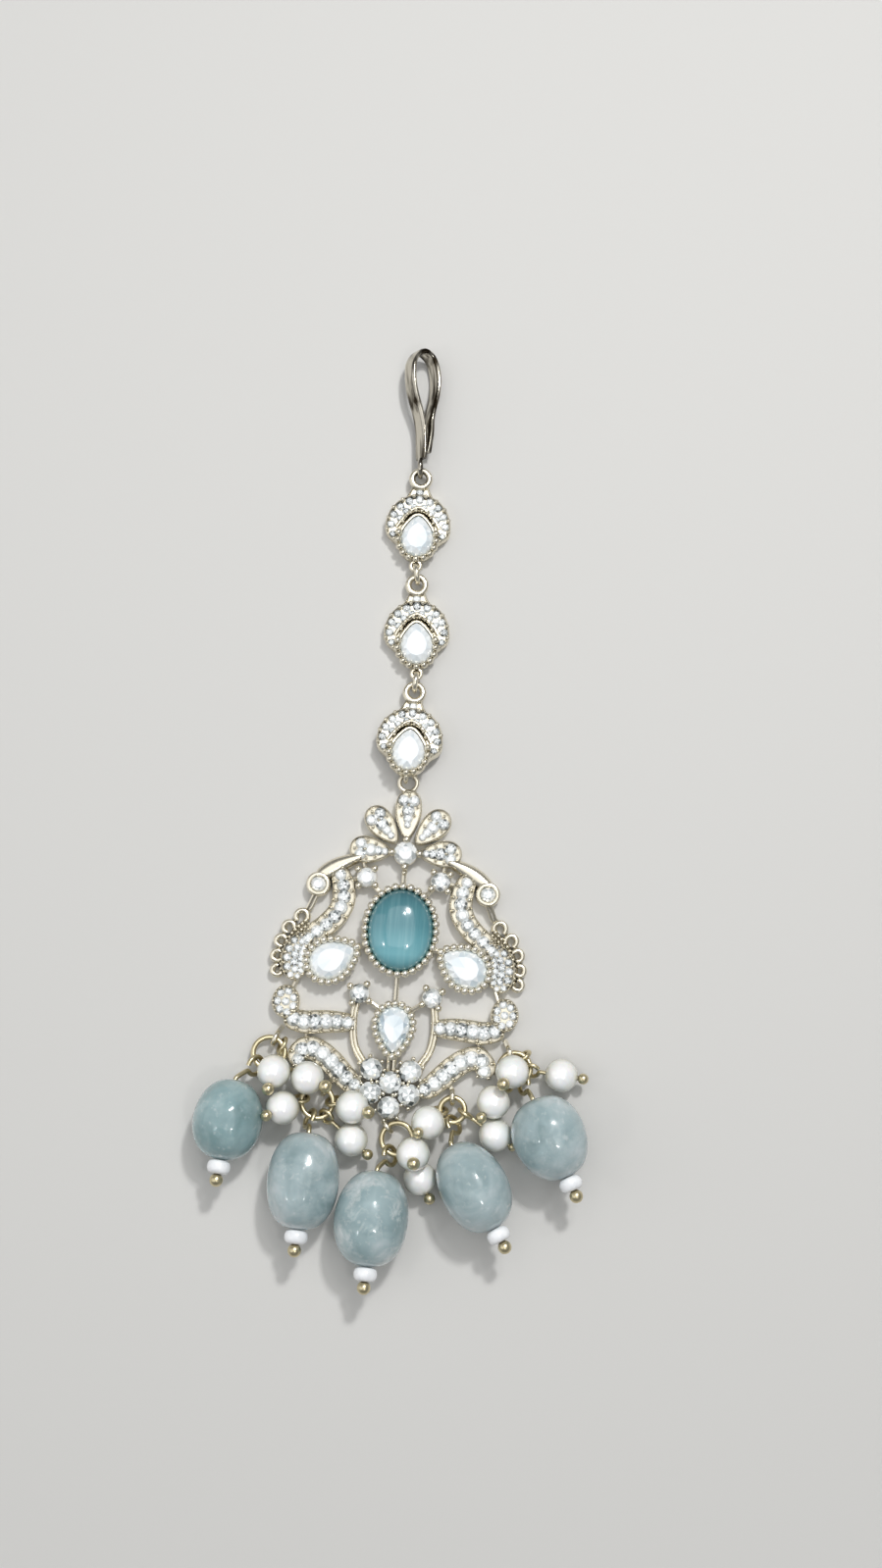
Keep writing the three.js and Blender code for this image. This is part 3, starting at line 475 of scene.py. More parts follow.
# a cut stone on an outline of 2n points: table, stars, kites and girdle facets over a short foot
# table and crown are shares of the outline, and heights are those of table, crown, girdle and foot
def facetedStone(outline, middle, table, crown, heights):
    n = len(outline) // 2
    spoke = outline - middle
    rings = [(table * spoke[0::2], heights[0]), (crown * spoke[1::2], heights[1]), (spoke, heights[2]),
             (0.8 * spoke, heights[3]), (np.zeros((1, 2)), heights[0])]
    points = np.concatenate([withColumn(ring + middle, z) for ring, z in rings])
    t, m, g, f = np.arange(n), n + np.arange(n), 2 * n + np.arange(2 * n), 4 * n + np.arange(2 * n)
    tNext, mBack, gNext, fNext = np.roll(t, -1), np.roll(m, 1), np.roll(g, -1), np.roll(f, -1)
    stars = np.stack([t, m, tNext], -1)
    kites = np.stack([t, mBack, g[0::2], m], -1)
    girdles = np.concatenate([np.stack([m, g[0::2], g[1::2]], -1), np.stack([m, g[1::2], gNext[1::2]], -1)])
    foot = np.stack([g, f, fNext, gNext], -1)
    fan = np.stack([np.full(n, 6 * n), t, tNext], -1)  # the table, parted so that painted light and dark sectors stand for the facets below showing through it
    return outward(points, [fan, stars, kites, girdles, foot, f[None, ::-1]])


# painted reflections on the facets of some cut stones, as a brightness for each: by turns light and dark on a
# small table, a slow wave round a broad one, at random elsewhere, all shifted by a share of the stone's own
def sparkle(parts, low, high, broad=False):
    values = []
    for _, faceSets in parts:
        stones = len(faceSets[-1])
        own = rng.uniform(-0.25, 0.15, stones) * (high - low)
        for number, faces in enumerate(faceSets):
            painted_glint = rng.uniform(low, high, len(faces))
            turns = np.where(np.arange(len(faces)) % 2, high, low + 0.3 * (high - low))
            if broad:
                wave = np.sin(2 * pi * np.arange(len(faces)) / len(faces) + rng.uniform(0, anyTurn))
                turns = low + (high - low) * (0.62 + 0.38 * wave)
            mixed = painted_glint if number else 0.3 * painted_glint + 0.7 * turns
            values.append(np.clip(mixed + np.repeat(own, len(faces) // stones), 0, 1))
    return {"painted_glint": ("FACE", np.concatenate(values))}


# cut stones as one object, each facet with its own painted reflection brightness from low to high
def makeStones(name, parts, material, low, high, nodes=(), broad=False):
    makePiece(name, parts, material, nodes, 0, sparkle(parts, low, high, broad))


brilliant = facetedStone(roundOutline(16), np.zeros(2), 0.55, 0.8, (0.5, 0.32, 0.05, -0.35))


# round stones of half size width / 2 with their girdles at a height
def roundStones(xy, widths, height):
    return copies(brilliant, withColumn(xy, height), widths / 2, rng.uniform(0, anyTurn, len(xy)))


# stones in one or more lanes along a band at even shares of its length, and places for grains between them
def paveAlong(rows, count, lanes, share, start, end, grainInset):
    fine = 400
    line = smoothLine(rows, fine)
    side = leftSide(line)
    pick = lambda t: np.clip((t * (fine - 1)).astype(int), 0, fine - 1)
    step = max(count - 1, 1)
    spots, widths = [], []
    for number, lane in enumerate(lanes):  # every second lane is half a step on
        i = pick(np.linspace(start, end, count) + (0.5 * (end - start) / step if number % 2 else 0))
        spots.append(line[i, :2] + lane * line[i, 2:] / 2 * side[i])
        widths.append(line[i, 2] * share)
    i = pick(start + (end - start) * (np.arange(count + 1) - 0.5) / step)
    edge = np.maximum(line[i, 2:] / 2 - grainInset, 0.1) * side[i]
    beads = np.concatenate([line[i, :2] + edge, line[i, :2] - edge])
    return np.concatenate(spots), np.concatenate(widths), beads


print("shapes ready")

# camera at the photo's angle; focal length and frame height in photo pixels, worked out from the stone sizes
camera = {"film": 36, "focal": 1894, "frame": 1599, "distance": 230.0, "tilt": 8.0, "aimX": 5.952, "aimY": 4.048}
tilt = radians(camera["tilt"])
view = bpy.data.cameras.new("camera")
view.lens = camera["film"] * camera["focal"] / camera["frame"]
view.sensor_width = camera["film"]
view.clip_start = 0.01
viewObject = addObject("camera", view)
aim = np.array([camera["aimX"], camera["aimY"], 0.0]) + layShift
viewObject.location = (aim + camera["distance"] * np.array([0, -sin(tilt), cos(tilt)])) * mm
viewObject.rotation_euler = (tilt, 0, 0)
scene.camera = viewObject

# each metal's second colour is its recess colour: antique wash and painted shade
metalPale = castGilt("cast_pale_gilt_brass", "#ebe4d1", "#6b6148", 0.25)
metalRim = castGilt("rolled_bead_gilt", "#f7f2e4", "#b0a68a", 0.34)
# the strip's strong stretched noise paints reflection streaks along it
metalHook = castGilt("polished_gilt_strip", "#d3cdbf", "#3b3327", 0.14, stretch=0.12, wearAndSheen=5.0, settle=0.62)
metalRing = castGilt("drawn_antique_gilt_wire", "#d8cca8", "#65583a", 0.3)
# the stones' colours run dim, bright, white: painted reflections for each facet
stoneSmall = zirconia("cut_zirconia", "#555c5f", "#d9dfe0", "#fbfdfd", 0.2)
stonePear = zirconia("cut_zirconia_pear", "#b4c5d0", "#d9e5eb", "#f4f9fb", 0.12)
beadStone = tumbledQuartz()
pearlSkin = pearlLustre()
seedSkin = seedGlass()

# plaque: its centre is the cat's eye; rows of the right half are mirrored to the left; bands are (x, y, width)
plaque = {
    "x": 1.01, "y": -14.15, "turn": -3.7,
    "bandTop": 1.62, "bandFloor": 1.2, "rim": 0.22, "girdle": 1.32, "bandRound": 0.8,
    "grain": 0.24, "grainSink": 0.12, "grainInset": 0.44, "edgeGrain": 0.2,
    "catsEye": (8.0, 10.0), "catsEyeBeads": (32, 0.31, 2.02, 0.51),  # count, offset, z, radius
    "flowerY": 9.44, "petalWidth": 3.25, "petalFrom": 1.75,
    "petals": [(2.5, 6.9), (47.5, 7.2), (90.0, 7.9), (132.5, 7.2), (177.5, 6.9)],  # angle, outer end
    "petalStones": [(1.35, -0.66, 1.4), (1.35, 0.66, 1.4), (2.6, 0.0, 1.6), (3.55, 0.0, 1.2), (4.35, 0.0, 0.9)],
    "petalGrains": [(0.62, 0.0), (2.15, -1.08), (2.15, 1.08), (1.95, 0.0), (3.2, -0.8), (3.2, 0.8)],
    "crest": [(5.3, 8.75, 1.0), (6.8, 8.15, 1.6), (8.2, 7.45, 2.0), (9.5, 6.6, 2.0), (10.7, 5.9, 1.2)],
    "neck": [(8.1, 7.1, 1.9), (7.6, 6.0, 2.5), (7.2, 4.5, 2.75), (7.2, 3.0, 2.8), (7.8, 1.6, 2.75),
             (8.8, 0.4, 2.7), (10.1, -0.75, 2.6), (11.4, -1.9, 2.4)],
    "wing": [(11.0, -1.3, 1.9), (12.3, -2.7, 2.9), (12.65, -4.2, 3.2), (12.45, -5.5, 3.0), (12.0, -6.6, 2.0)],
    "sideBand": [(13.2, -10.9, 2.1), (12.1, -11.5, 2.6), (10.8, -11.75, 2.75), (9.0, -11.6, 2.75),
                 (7.0, -11.5, 2.6), (4.95, -11.55, 2.1)],
    "scroll": [(3.3, -19.2, 1.8), (4.4, -18.85, 2.4), (5.8, -17.7, 2.8), (7.4, -16.2, 2.95), (9.0, -15.1, 2.85),
               (10.4, -14.85, 2.8), (11.2, -15.6, 2.7), (11.1, -17.0, 2.2)],
    # band, stones in a lane, lanes across, stone width as a share of the band, first and last share along it
    "pave": [("neck", 8, (0,), 0.6, 0.08, 0.97), ("wing", 6, (-0.56, 0.0, 0.56), 0.31, 0.12, 0.88),
             ("sideBand", 6, (0,), 0.68, 0.14, 0.93), ("scroll", 8, (0,), 0.68, 0.09, 0.94)],
    "bulb": (13.28, -9.45, 3.4, 4.0), "bulbStones": (7, 0.66, 0.98), "bulbGrains": 18,  # count, inset, width
    "head": (10.37, 5.02, 1.85, 1.5), "headGirdle": 1.45,  # x, y, stone, collar
    "beak": [(10.55, 3.7), (10.9, 2.9), (11.2, 2.2), (11.75, 1.5)], "beakWire": (0.26, 0.19), "beakZ": (1.5, 0.7),
    "curvedWire": [(4.75, -9.0), (4.95, -10.8), (4.9, -12.4), (4.55, -14.2), (3.3, -16.3)],
    "curvedPair": (0.2, 0.27), "curvedZ": 1.05,  # half gap, radius
    "web": [(11.4, 0.3, 1.1), (12.75, -1.05, 1.2), (13.6, -2.6, 1.3), (13.95, -4.2, 1.3), (13.8, -6.0, 1.1)],
    "webGrains": (14, 0.28, 1.0, 0.3),  # count, offset, z, radius
    "scallops": [(12.1, 1.0, 0.75), (13.55, -0.45, 0.7), (14.4, -2.15, 0.65), (14.75, -3.95, 0.62),
                 (14.65, -5.7, 0.6)],
    "scallopWire": 0.62, "wingMiddle": (11.4, -3.6),
    # x, y, width, turn and number of the claws, radius of their tips, girdle height
    "clawed": [(4.53, 6.2, 2.4, 40.0, 4, 0.42, 1.5), (4.4, -7.94, 2.4, 35.0, 4, 0.42, 1.5),
               (2.38, -16.87, 2.7, 22.0, 6, 0.24, 1.5), (2.32, -19.67, 2.7, 2.0, 4, 0.24, 1.5)],
    "middleClawed": [(0.0, 9.44, 2.9, 90.0, 4, 0.46, 1.6), (0.0, -18.3, 2.7, 0.0, 6, 0.24, 1.5),
                     (0.0, -21.3, 2.7, 14.0, 6, 0.24, 1.5)],
    "topEye": (-0.25, 18.2, 1.05, 1.1, 0.27), "middleBall": (0.0, 7.1, 1.2, 0.36),
    "struts": [(2.9, 4.6, 4.53, 6.2), (4.53, 6.2, 5.1, 8.6), (5.6, 6.0, 7.4, 5.6), (4.1, -2.1, 5.0, -2.3),
               (4.4, -7.94, 1.9, -9.6), (12.1, -6.6, 12.8, -8.4), (10.4, -12.2, 10.5, -14.4)],
    "middleStruts": [(0.0, 5.6, 0.0, 8.2), (0.0, -5.6, 0.0, -9.3), (-0.33, -14.6, -0.33, -17.5),
                     (0.33, -14.6, 0.33, -17.5)],
    "strut": (0.75, 0.3), "middleStrut": (0.9, 0.28),  # height, radius
}
sidePear = {"x": 8.7, "y": -4.4, "radius": 2.2, "reach": 4.15, "turn": 60.3, "beads": 21, "beadsBelow": 99.0}
middlePear = {"x": 0.0, "y": -11.1, "radius": 1.98, "reach": 4.1, "turn": 180.0, "beads": 20, "beadsBelow": 99.0}
linkPear = {"x": 0.0, "y": -2.05, "radius": 2.02, "reach": 3.65, "turn": 0.0, "beads": 18, "beadsBelow": -0.9}
pearSetting = {"bead": 0.48, "beadOut": 0.38, "beadZ": 1.85, "heights": (2.4, 2.15, 1.75, 0.67)}
claw = {"out": 0.24, "post": 0.24, "postTop": 1.8, "tipZ": 1.78}
# walls as (offset outwards, height): pear collet, cat's-eye collet and a flat leaf with a raised edge
pearWall = [(0.5, 0), (0.5, 1.5), (0.4, 1.75), (0.25, 1.9), (0.12, 1.9), (0.05, 1.8), (0.05, 0.6)]
catsEyeWall = [(0.5, 0), (0.5, 1.6), (0.4, 1.85), (0.25, 2.0), (0.12, 2.0), (0.04, 1.9), (0.04, 0.6)]
leafWall = [(0, 0), (0, 1.5), (-0.05, 1.62), (-0.12, 1.66), (-0.19, 1.62), (-0.22, 1.2)]
clawCollar = [(0.36, 0), (0.4, 0.5), (0.52, 1.35), (0.5, 1.5), (0.42, 1.5)]  # share of the stone, height


# the plaque's own place: turned flat, then moved
def onPlaque(points):
    a = radians(plaque["turn"])
    spin = np.array([[cos(a), sin(a), 0], [-sin(a), cos(a), 0], [0, 0, 1]])
    return points @ spin + [plaque["x"], plaque["y"], 0]


# a collet round a pear stone, and the ring of grains outside it
def pearBezel(pear):
    ring = evenLoop(pearOutline(pear, pearSetting["beadOut"]), pear["beads"])
    ring = ring[ring[:, 1] < pear["beadsBelow"]]
    return [walledSolid(pearOutline(pear), pearWall), grains(ring, pearSetting["beadZ"], pearSetting["bead"])]


# a cut stone on a pear outline, its facets meeting a third of the way to the tip
def pearStone(pear):
    outline = evenLoop(pearOutline(pear), 24)
    middle = turnedTo(np.array([[0.0, (pear["reach"] - pear["radius"]) / 3]]), pear)[0]
    return facetedStone(outline, middle, 0.62, 0.85, pearSetting["heights"])


# a round stone's claws: a collar, then a post with a ball tip at each corner
def clawSetting(x, y, width, turn, claws, tip):
    collar = turnedSolid(x, y, [(width * share, height) for share, height in clawCollar])
    a, out = np.radians(turn + 360 / claws * np.arange(claws)), width / 2 + claw["out"]
    corner = np.stack([x + out * np.cos(a), y + out * np.sin(a)], -1)
    ends = [withColumn(claw["post"] * roundOutline(8), z) for z in (0.0, claw["postTop"])]
    post = tubeSolid(np.stack(ends))
    return [collar, grains(corner, claw["tipZ"], tip, roundBall), grains(corner, 0.0, 1.0, post)]


# adds the settings and stones of claw-set rows to two lists
def clawSet(rows, settings, cut):
    for *setting, height in rows:
        settings.extend(clawSetting(*setting))
        cut.append(roundStones([setting[:2]], setting[2], height))


# a straight wire at one height
def flatWire(x, y, endX, endY, height, radius):
    return wireSolid(np.linspace((x, y, height), (endX, endY, height), 6), radius, upward, 8)


# places on a petal: back from its outer end and aside from its middle line
def onPetal(to, a, rows):
    back, aside = np.array(rows)[:, :2].T
    return np.stack([(to - back) * cos(a) - aside * sin(a),
                     plaque["flowerY"] + (to - back) * sin(a) + aside * cos(a)], -1)


bandTop, girdle, edgeGrain = plaque["bandTop"], plaque["girdle"], plaque["edgeGrain"]
setBand = setProfile(bandTop, plaque["bandFloor"], plaque["rim"])
metal, rims, stones, clawStones = [], [], [], []  # right half
for key, *setting in plaque["pave"]:
    metal.append(bandSolid(plaque[key], setBand, 48, plaque["bandRound"]))
    spots, widths, beads = paveAlong(plaque[key], *setting, plaque["grainInset"])
    stones.append(roundStones(spots, widths, girdle))
    metal.append(grains(beads, bandTop - plaque["grainSink"], plaque["grain"]))
bulbPlace, bulbSize = plaque["bulb"][:2], plaque["bulb"][2:]
metal.append(walledSolid(ovalOutline(*bulbSize, 60) + bulbPlace, leafWall))
count, inset, size = plaque["bulbStones"]
spots = np.concatenate([evenLoop(ovalOutline(*bulbSize, grow=-inset), count), [(0.0, 0.0)]])
stones.append(roundStones(spots + bulbPlace, size, girdle))
beads = evenLoop(ovalOutline(*bulbSize, grow=-edgeGrain), plaque["bulbGrains"])
metal.append(grains(beads + bulbPlace, bandTop, edgeGrain))
metal.append(bandSolid(plaque["crest"], domeProfile(1.75, 0.55), 30, 0.5))
headX, headY, headStone, headCollar = plaque["head"]
headRows = [(headCollar, 0), (headCollar, 1.6), (headCollar - 0.08, 1.8), (headCollar - 0.22, 1.88),
            (headCollar - 0.42, 1.86), (headStone / 2 + 0.08, 1.72), (headStone / 2 - 0.05, 1.35)]
metal.append(turnedSolid(headX, headY, headRows, 32))
clawStones.append(roundStones([(headX, headY)], headStone, plaque["headGirdle"]))
gap, radius = plaque["beakWire"]
for offset in (-gap, gap):  # beak: two fine wires side by side, dipping to the wing
    beak = smoothLine(np.array(plaque["beak"]) + [offset, 0], 14)
    metal.append(wireSolid(np.column_stack([beak, np.linspace(*plaque["beakZ"], 14)]), radius, upward, 8))
metal.append(bandSolid(plaque["web"], domeProfile(0.85, 0.6), 30))
count, offset, height, radius = plaque["webGrains"]
web = smoothLine(np.array(plaque["web"])[:, :2], count)
webSide = offset * leftSide(web)
metal.append(grains(np.concatenate([web + webSide, web - webSide]), height, radius))
wingX, wingY = plaque["wingMiddle"]
for x, y, size in plaque["scallops"]:  # curls that open towards the wing
    a = atan2(y - wingY, x - wingX) + np.radians(np.linspace(-135, 135, 9))
    curl = np.stack([x + size * np.cos(a), y + size * np.sin(a)], -1)
    metal.append(bandSolid(withColumn(curl, plaque["scallopWire"]), domeProfile(1.35, 0.75), 22, 0.2))
clawSet(plaque["clawed"], metal, clawStones)
curve = smoothLine(plaque["curvedWire"], 30)
gap, radius = plaque["curvedPair"]
for offset in (-gap, gap):  # curved wires: a pair with a groove between
    metal.append(wireSolid(withColumn(curve + offset * leftSide(curve), plaque["curvedZ"]), radius, upward))
metal += [flatWire(*row, *plaque["strut"]) for row in plaque["struts"]]
collet, beadRim = pearBezel(sidePear)
metal.append(collet)
rims.append(beadRim)
metal, rims, stones, clawStones = [half + mirrored(half) for half in (metal, rims, stones, clawStones)]

# middle line of the plaque
for angle, to in plaque["petals"]:
    a, middle = radians(angle), (to + plaque["petalFrom"]) / 2
    leaf = {"x": middle * cos(a), "y": plaque["flowerY"] + middle * sin(a), "turn": angle - 90}
    outline = turnedTo(eggOutline(plaque["petalWidth"], to - plaque["petalFrom"]), leaf)
    metal.append(walledSolid(outline, leafWall))
    widths = np.array(plaque["petalStones"])[:, 2]
    stones.append(roundStones(onPetal(to, a, plaque["petalStones"]), widths, girdle))
    metal.append(grains(onPetal(to, a, plaque["petalGrains"]), bandTop, edgeGrain))
clawSet(plaque["middleClawed"], metal, clawStones)
metal += [flatWire(*row, *plaque["middleStrut"]) for row in plaque["middleStruts"]]
metal.append(copies(roundBall, [plaque["middleBall"][:3]], plaque["middleBall"][3]))
collet, beadRim = pearBezel(middlePear)
metal.append(collet)
rims.append(beadRim)
width, length = plaque["catsEye"]
metal.append(walledSolid(ovalOutline(width, length), catsEyeWall))
count, offset, height, radius = plaque["catsEyeBeads"]
rims.append(grains(evenLoop(ovalOutline(width, length, grow=offset), count), height, radius))
metal.append(wireRing(plaque["topEye"][:3], upward, *plaque["topEye"][3:]))
metal = mapped(metal, onPlaque)

# drop rings: the hanging point on the plaque, the way the ring lies, its radius and the root of its loop
dropRings = [
    (-14.2, -13.95, -112.6, 1.9, -13.45, -12.4), (-7.6, -19.6, -125.0, 1.9, -6.7, -17.2),
    (0.0, -23.55, -50.0, 1.9, 0.0, -22.1), (7.6, -19.6, -90.0, 1.5, 6.7, -17.2),
    (14.2, -13.95, -73.0, 1.9, 13.45, -12.4),
]
hang = {"height": 1.08, "radius": 0.77, "wire": 0.3, "rootZ": 0.8, "ringWire": 0.32, "ringPitch": 8.0}


# a direction by its heading on the floor and its pitch above it
def pitched(heading, pitch):
    h, p = radians(heading), radians(pitch)
    return np.array([cos(p) * cos(h), cos(p) * sin(h), sin(p)])


# a ring's hanging point, its centre and the two directions of its plane
def ringFrame(x, y, heading, radius):
    point = onPlaque(np.array([[x, y, hang["height"]]]))[0]
    outDirection, far = pitched(heading, 0), pitched(heading, hang["ringPitch"])
    return {"point": point, "out": outDirection, "far": far, "side": np.cross(upward, outDirection),
            "centre": point + far * radius, "radius": radius}


for x, y, heading, radius, rootX, rootY in dropRings:
    ring = ringFrame(x, y, heading, radius)
    root = onPlaque(np.array([[rootX, rootY, hang["rootZ"]]]))[0]
    stem = np.linspace(root, ring["point"] - ring["out"] * hang["radius"], 6)
    metal.append(wireRing(ring["point"], ring["side"], hang["radius"], hang["wire"], 28))
    metal.append(wireSolid(stem, hang["wire"], upward, 8))

makePiece("plaque_metal", metal, metalPale, ["plaque"])
makePiece("plaque_bead_rims", mapped(rims, onPlaque), metalRim)
for name, parts, low in [("plaque_pave", stones, 0.08), ("plaque_claw_stones", clawStones, 0.12)]:
    makeStones(name, mapped(parts, onPlaque), stoneSmall, low, 1.0)
print("plaque made")

# cat's eye: ovals that shrink up a dome from the girdle
dome = {"foot": 0.67, "girdle": 1.6, "bevel": 0.25, "top": 3.85, "rows": 18, "around": 96, "full": 0.92}
climb = np.linspace(0, 0.49 * pi, dome["rows"])
share = np.concatenate([[0.93, 0.985], np.cos(climb) ** dome["full"]])
height = np.concatenate([[dome["foot"], dome["girdle"] - dome["bevel"]],
                         dome["girdle"] + (dome["top"] - dome["girdle"]) * np.sin(climb)])
oval = ovalOutline(width, length, dome["around"])
grid = np.concatenate([share[:, None, None] * oval[None],
                       np.broadcast_to(height[:, None, None], (len(share), dome["around"], 1))], -1)
eyeCentre = np.array([plaque["x"], plaque["y"]]) + layShift[:2]
eyeGlass = catsEyeGlass(eyeCentre, plaque["turn"], (width / 2, length / 2))
makePiece("cats_eye_dome", mapped([tubeSolid(grid)], onPlaque), eyeGlass, ["cats_eye"], 60)
for name, low, shape in [("pear_right", 0.32, [pearStone(sidePear)]),
                         ("pear_left", 0.32, mirrored([pearStone(sidePear)])),
                         ("pear_centre", 0.05, [pearStone(middlePear)])]:
    makeStones(f"{name}_cut", mapped(shape, onPlaque), stonePear, low, 1.0, [name], True)

# links, from the middle of the medallion: a set crescent, the bezel, the top eye and the loop below
link = {
    "places": [(3.42, 42.6, -3.3, 0.0), (2.95, 28.9, -0.2, 0.0), (2.67, 15.25, -5.4, 8.0)],  # x, y, turn, pitch
    "eye": (6.05, 1.45, 1.08, 0.4), "loop": (-5.2, 1.45, 0.6, 0.25),  # y, z, radius, wire
    "underLoop": (-4.15, -0.2, 0.85, 0.25), "chain": (1.08, 0.32, 0.02),  # the last is lift off the floor
    "crescent": 2.92, "crescentWidth": 2.3, "arc": (-58.0, 238.0), "taper": 0.7, "tipShare": 0.55,
    "top": 1.6, "floor": 1.25, "rim": 0.22, "neckRim": 0.3, "girdle": 1.27, "grain": 0.28,
    "outer": (13, (-0.4,), 0.46, 0.05, 0.95, 0.2),  # as a row of the plaque's pave, and the grains' inset
    "inner": (6, 1.0, 0.84), "innerArc": (22, 158), "neckStone": (0.0, 4.3, 1.15),
    "neck": [(0, 3.5, 3.6), (0, 4.3, 2.7), (0, 5.1, 2.1)],
    "bridge": [(0, 2.3, 0.7), (0, 1.8, 0.7), (0, 1.2, 0.7)],
    "arch": (0.92, 0.5, -0.3),  # offset from the pear, width, lowest y
}
eyeY, eyeZ, eyeRadius, eyeWire = link["eye"]
loopY, loopZ, loopRadius, loopWire = link["loop"]
chainRadius, chainWire, chainLift = link["chain"]


# a link's own place: tipped about its top eye, turned and laid down
def onLink(points, x, y, turn, pitch):
    p, t = radians(-pitch), radians(turn)
    across, along, up = (points - [0, eyeY, eyeZ]).T
    along, up = along * cos(p) - up * sin(p), along * sin(p) + up * cos(p)
    across, along = across * cos(t) - along * sin(t), across * sin(t) + along * cos(t)
    return np.stack([across, along, up], -1) + [x, y, eyeZ]


a, crescent = np.radians(np.linspace(*link["arc"], 15)), link["crescent"]
taper = np.clip(np.minimum(a - a[0], a[-1] - a) / link["taper"], link["tipShare"], 1.0)
rows = np.column_stack([crescent * np.cos(a), crescent * np.sin(a), link["crescentWidth"] * taper])
spots, widths, beads = paveAlong(rows, *link["outer"])
count, size, share = link["inner"]
a = np.radians(np.linspace(*link["innerArc"], count))
spots = np.vstack([spots, share * crescent * np.column_stack([np.cos(a), np.sin(a)]), [link["neckStone"][:2]]])
widths = np.concatenate([widths, np.full(count, size), [link["neckStone"][2]]])
offset, width, lowest = link["arch"]  # inner rim: an arch over the pear, a slit away from it
arch = np.roll(pearOutline(linkPear, offset), pearCount // 2, axis=0)
arch = arch[arch[:, 1] > lowest]
linkMetal = [
    bandSolid(rows, setProfile(link["top"], link["floor"], link["rim"]), 60, 0.6),
    grains(beads, bandTop, link["grain"]),
    *pearBezel(linkPear),
    bandSolid(withColumn(arch, width), domeProfile(link["top"], 0.85), 40),
    wireRing((0, eyeY, eyeZ), upward, eyeRadius, eyeWire),
    bandSolid(link["neck"], setProfile(link["top"], link["floor"], link["neckRim"]), 14),
    bandSolid(link["bridge"], domeProfile(1.3, 0.6), 8),
]
flatLoop = wireRing((0, loopY, loopZ), upward, loopRadius, loopWire, 28)
underLoop = wireRing((0, *link["underLoop"][:2]), (1, 0, 0), *link["underLoop"][2:], 28)
for number, (place, loop) in enumerate(zip(link["places"], [flatLoop, flatLoop, underLoop]), 1):
    lay = lambda p: onLink(p, *place)
    makePiece(f"link_{number}_metal", mapped(linkMetal + [loop], lay), metalPale, [f"link_{number}"])
    small, pear = roundStones(spots, widths, link["girdle"]), pearStone(linkPear)
    makeStones(f"link_{number}_pave", mapped([small], lay), stoneSmall, 0.0, 0.82)
    makeStones(f"link_{number}_pear", mapped([pear], lay), stonePear, 0.4, 1.0, [f"link_stone_{number}"], True)
for number in (1, 2):
    loop = onLink(np.array([[0, loopY, loopZ]]), *link["places"][number - 1])[0]
    eye = onLink(np.array([[0, eyeY + eyeRadius, eyeZ]]), *link["places"][number])[0]
    run = unit(eye - loop)
    centre = loop + run * chainRadius
    centre[2] = max(centre[2], chainRadius + chainWire + chainLift)
    wire = wireRing(centre, np.cross(run, upward), chainRadius, chainWire)
    makePiece(f"chain_ring_{number}_wire", [wire], metalPale, [f"chain_ring_{number}"])
print("links made")

# hair hook: a flat strip bent to a teardrop in its own plane, rolled about its length, drawn down to an eye
hook = {
    "x": 4.35, "y": 45.9, "z": 1.25, "strip": 2.2, "thick": 0.7, "roll": 35.0, "steps": 160,
    "eye": (3.35, 44.05, 1.5, 1.11, 0.33),
    "line": [(-0.3, -0.95), (-0.3, 1.4), (-0.36, 2.98), (-0.58, 4.2), (-0.87, 5.2), (-1.31, 6.45), (-1.74, 7.94),
             (-1.95, 9.8), (-1.8, 11.4), (-1.05, 12.6), (-0.1, 13.05), (0.75, 12.7), (1.45, 11.8), (1.82, 10.4),
             (1.82, 8.56), (1.45, 6.7), (1.09, 5.46), (0.85, 4.2), (0.94, 2.98), (0.9, 1.74), (0.73, 0.1)],
}
line = smoothLine(hook["line"], hook["steps"])
walk = np.linspace(0, 1, hook["steps"])
deep = hook["strip"] / 2 * np.clip(np.minimum(0.85 + walk / 0.12, 0.35 + (1 - walk) / 0.22), 0, 1)
a = roundTurn(20)
flatX = np.sign(np.cos(a)) * np.abs(np.cos(a)) ** 0.75 * hook["thick"] / 2
flatZ = deep[:, None] * (np.sign(np.sin(a)) * np.abs(np.sin(a)) ** 0.6)[None] - hook["strip"] / 2
flatXY = line[:, None] + flatX[None, :, None] * leftSide(line)[:, None]
r = radians(hook["roll"])
strip = np.stack([flatXY[..., 0] * cos(r) + flatZ * sin(r), flatXY[..., 1],
                  -flatXY[..., 0] * sin(r) + flatZ * cos(r)], -1)
strip = strip + [hook["x"], hook["y"], hook["z"] + hook["strip"] * cos(r)]
hookEye = wireRing(hook["eye"][:3], (1, 0, 0), *hook["eye"][3:], 32)
makePiece("hook_strip", [tubeSolid(strip), hookEye], metalHook, ["hook"])
print("hook made")

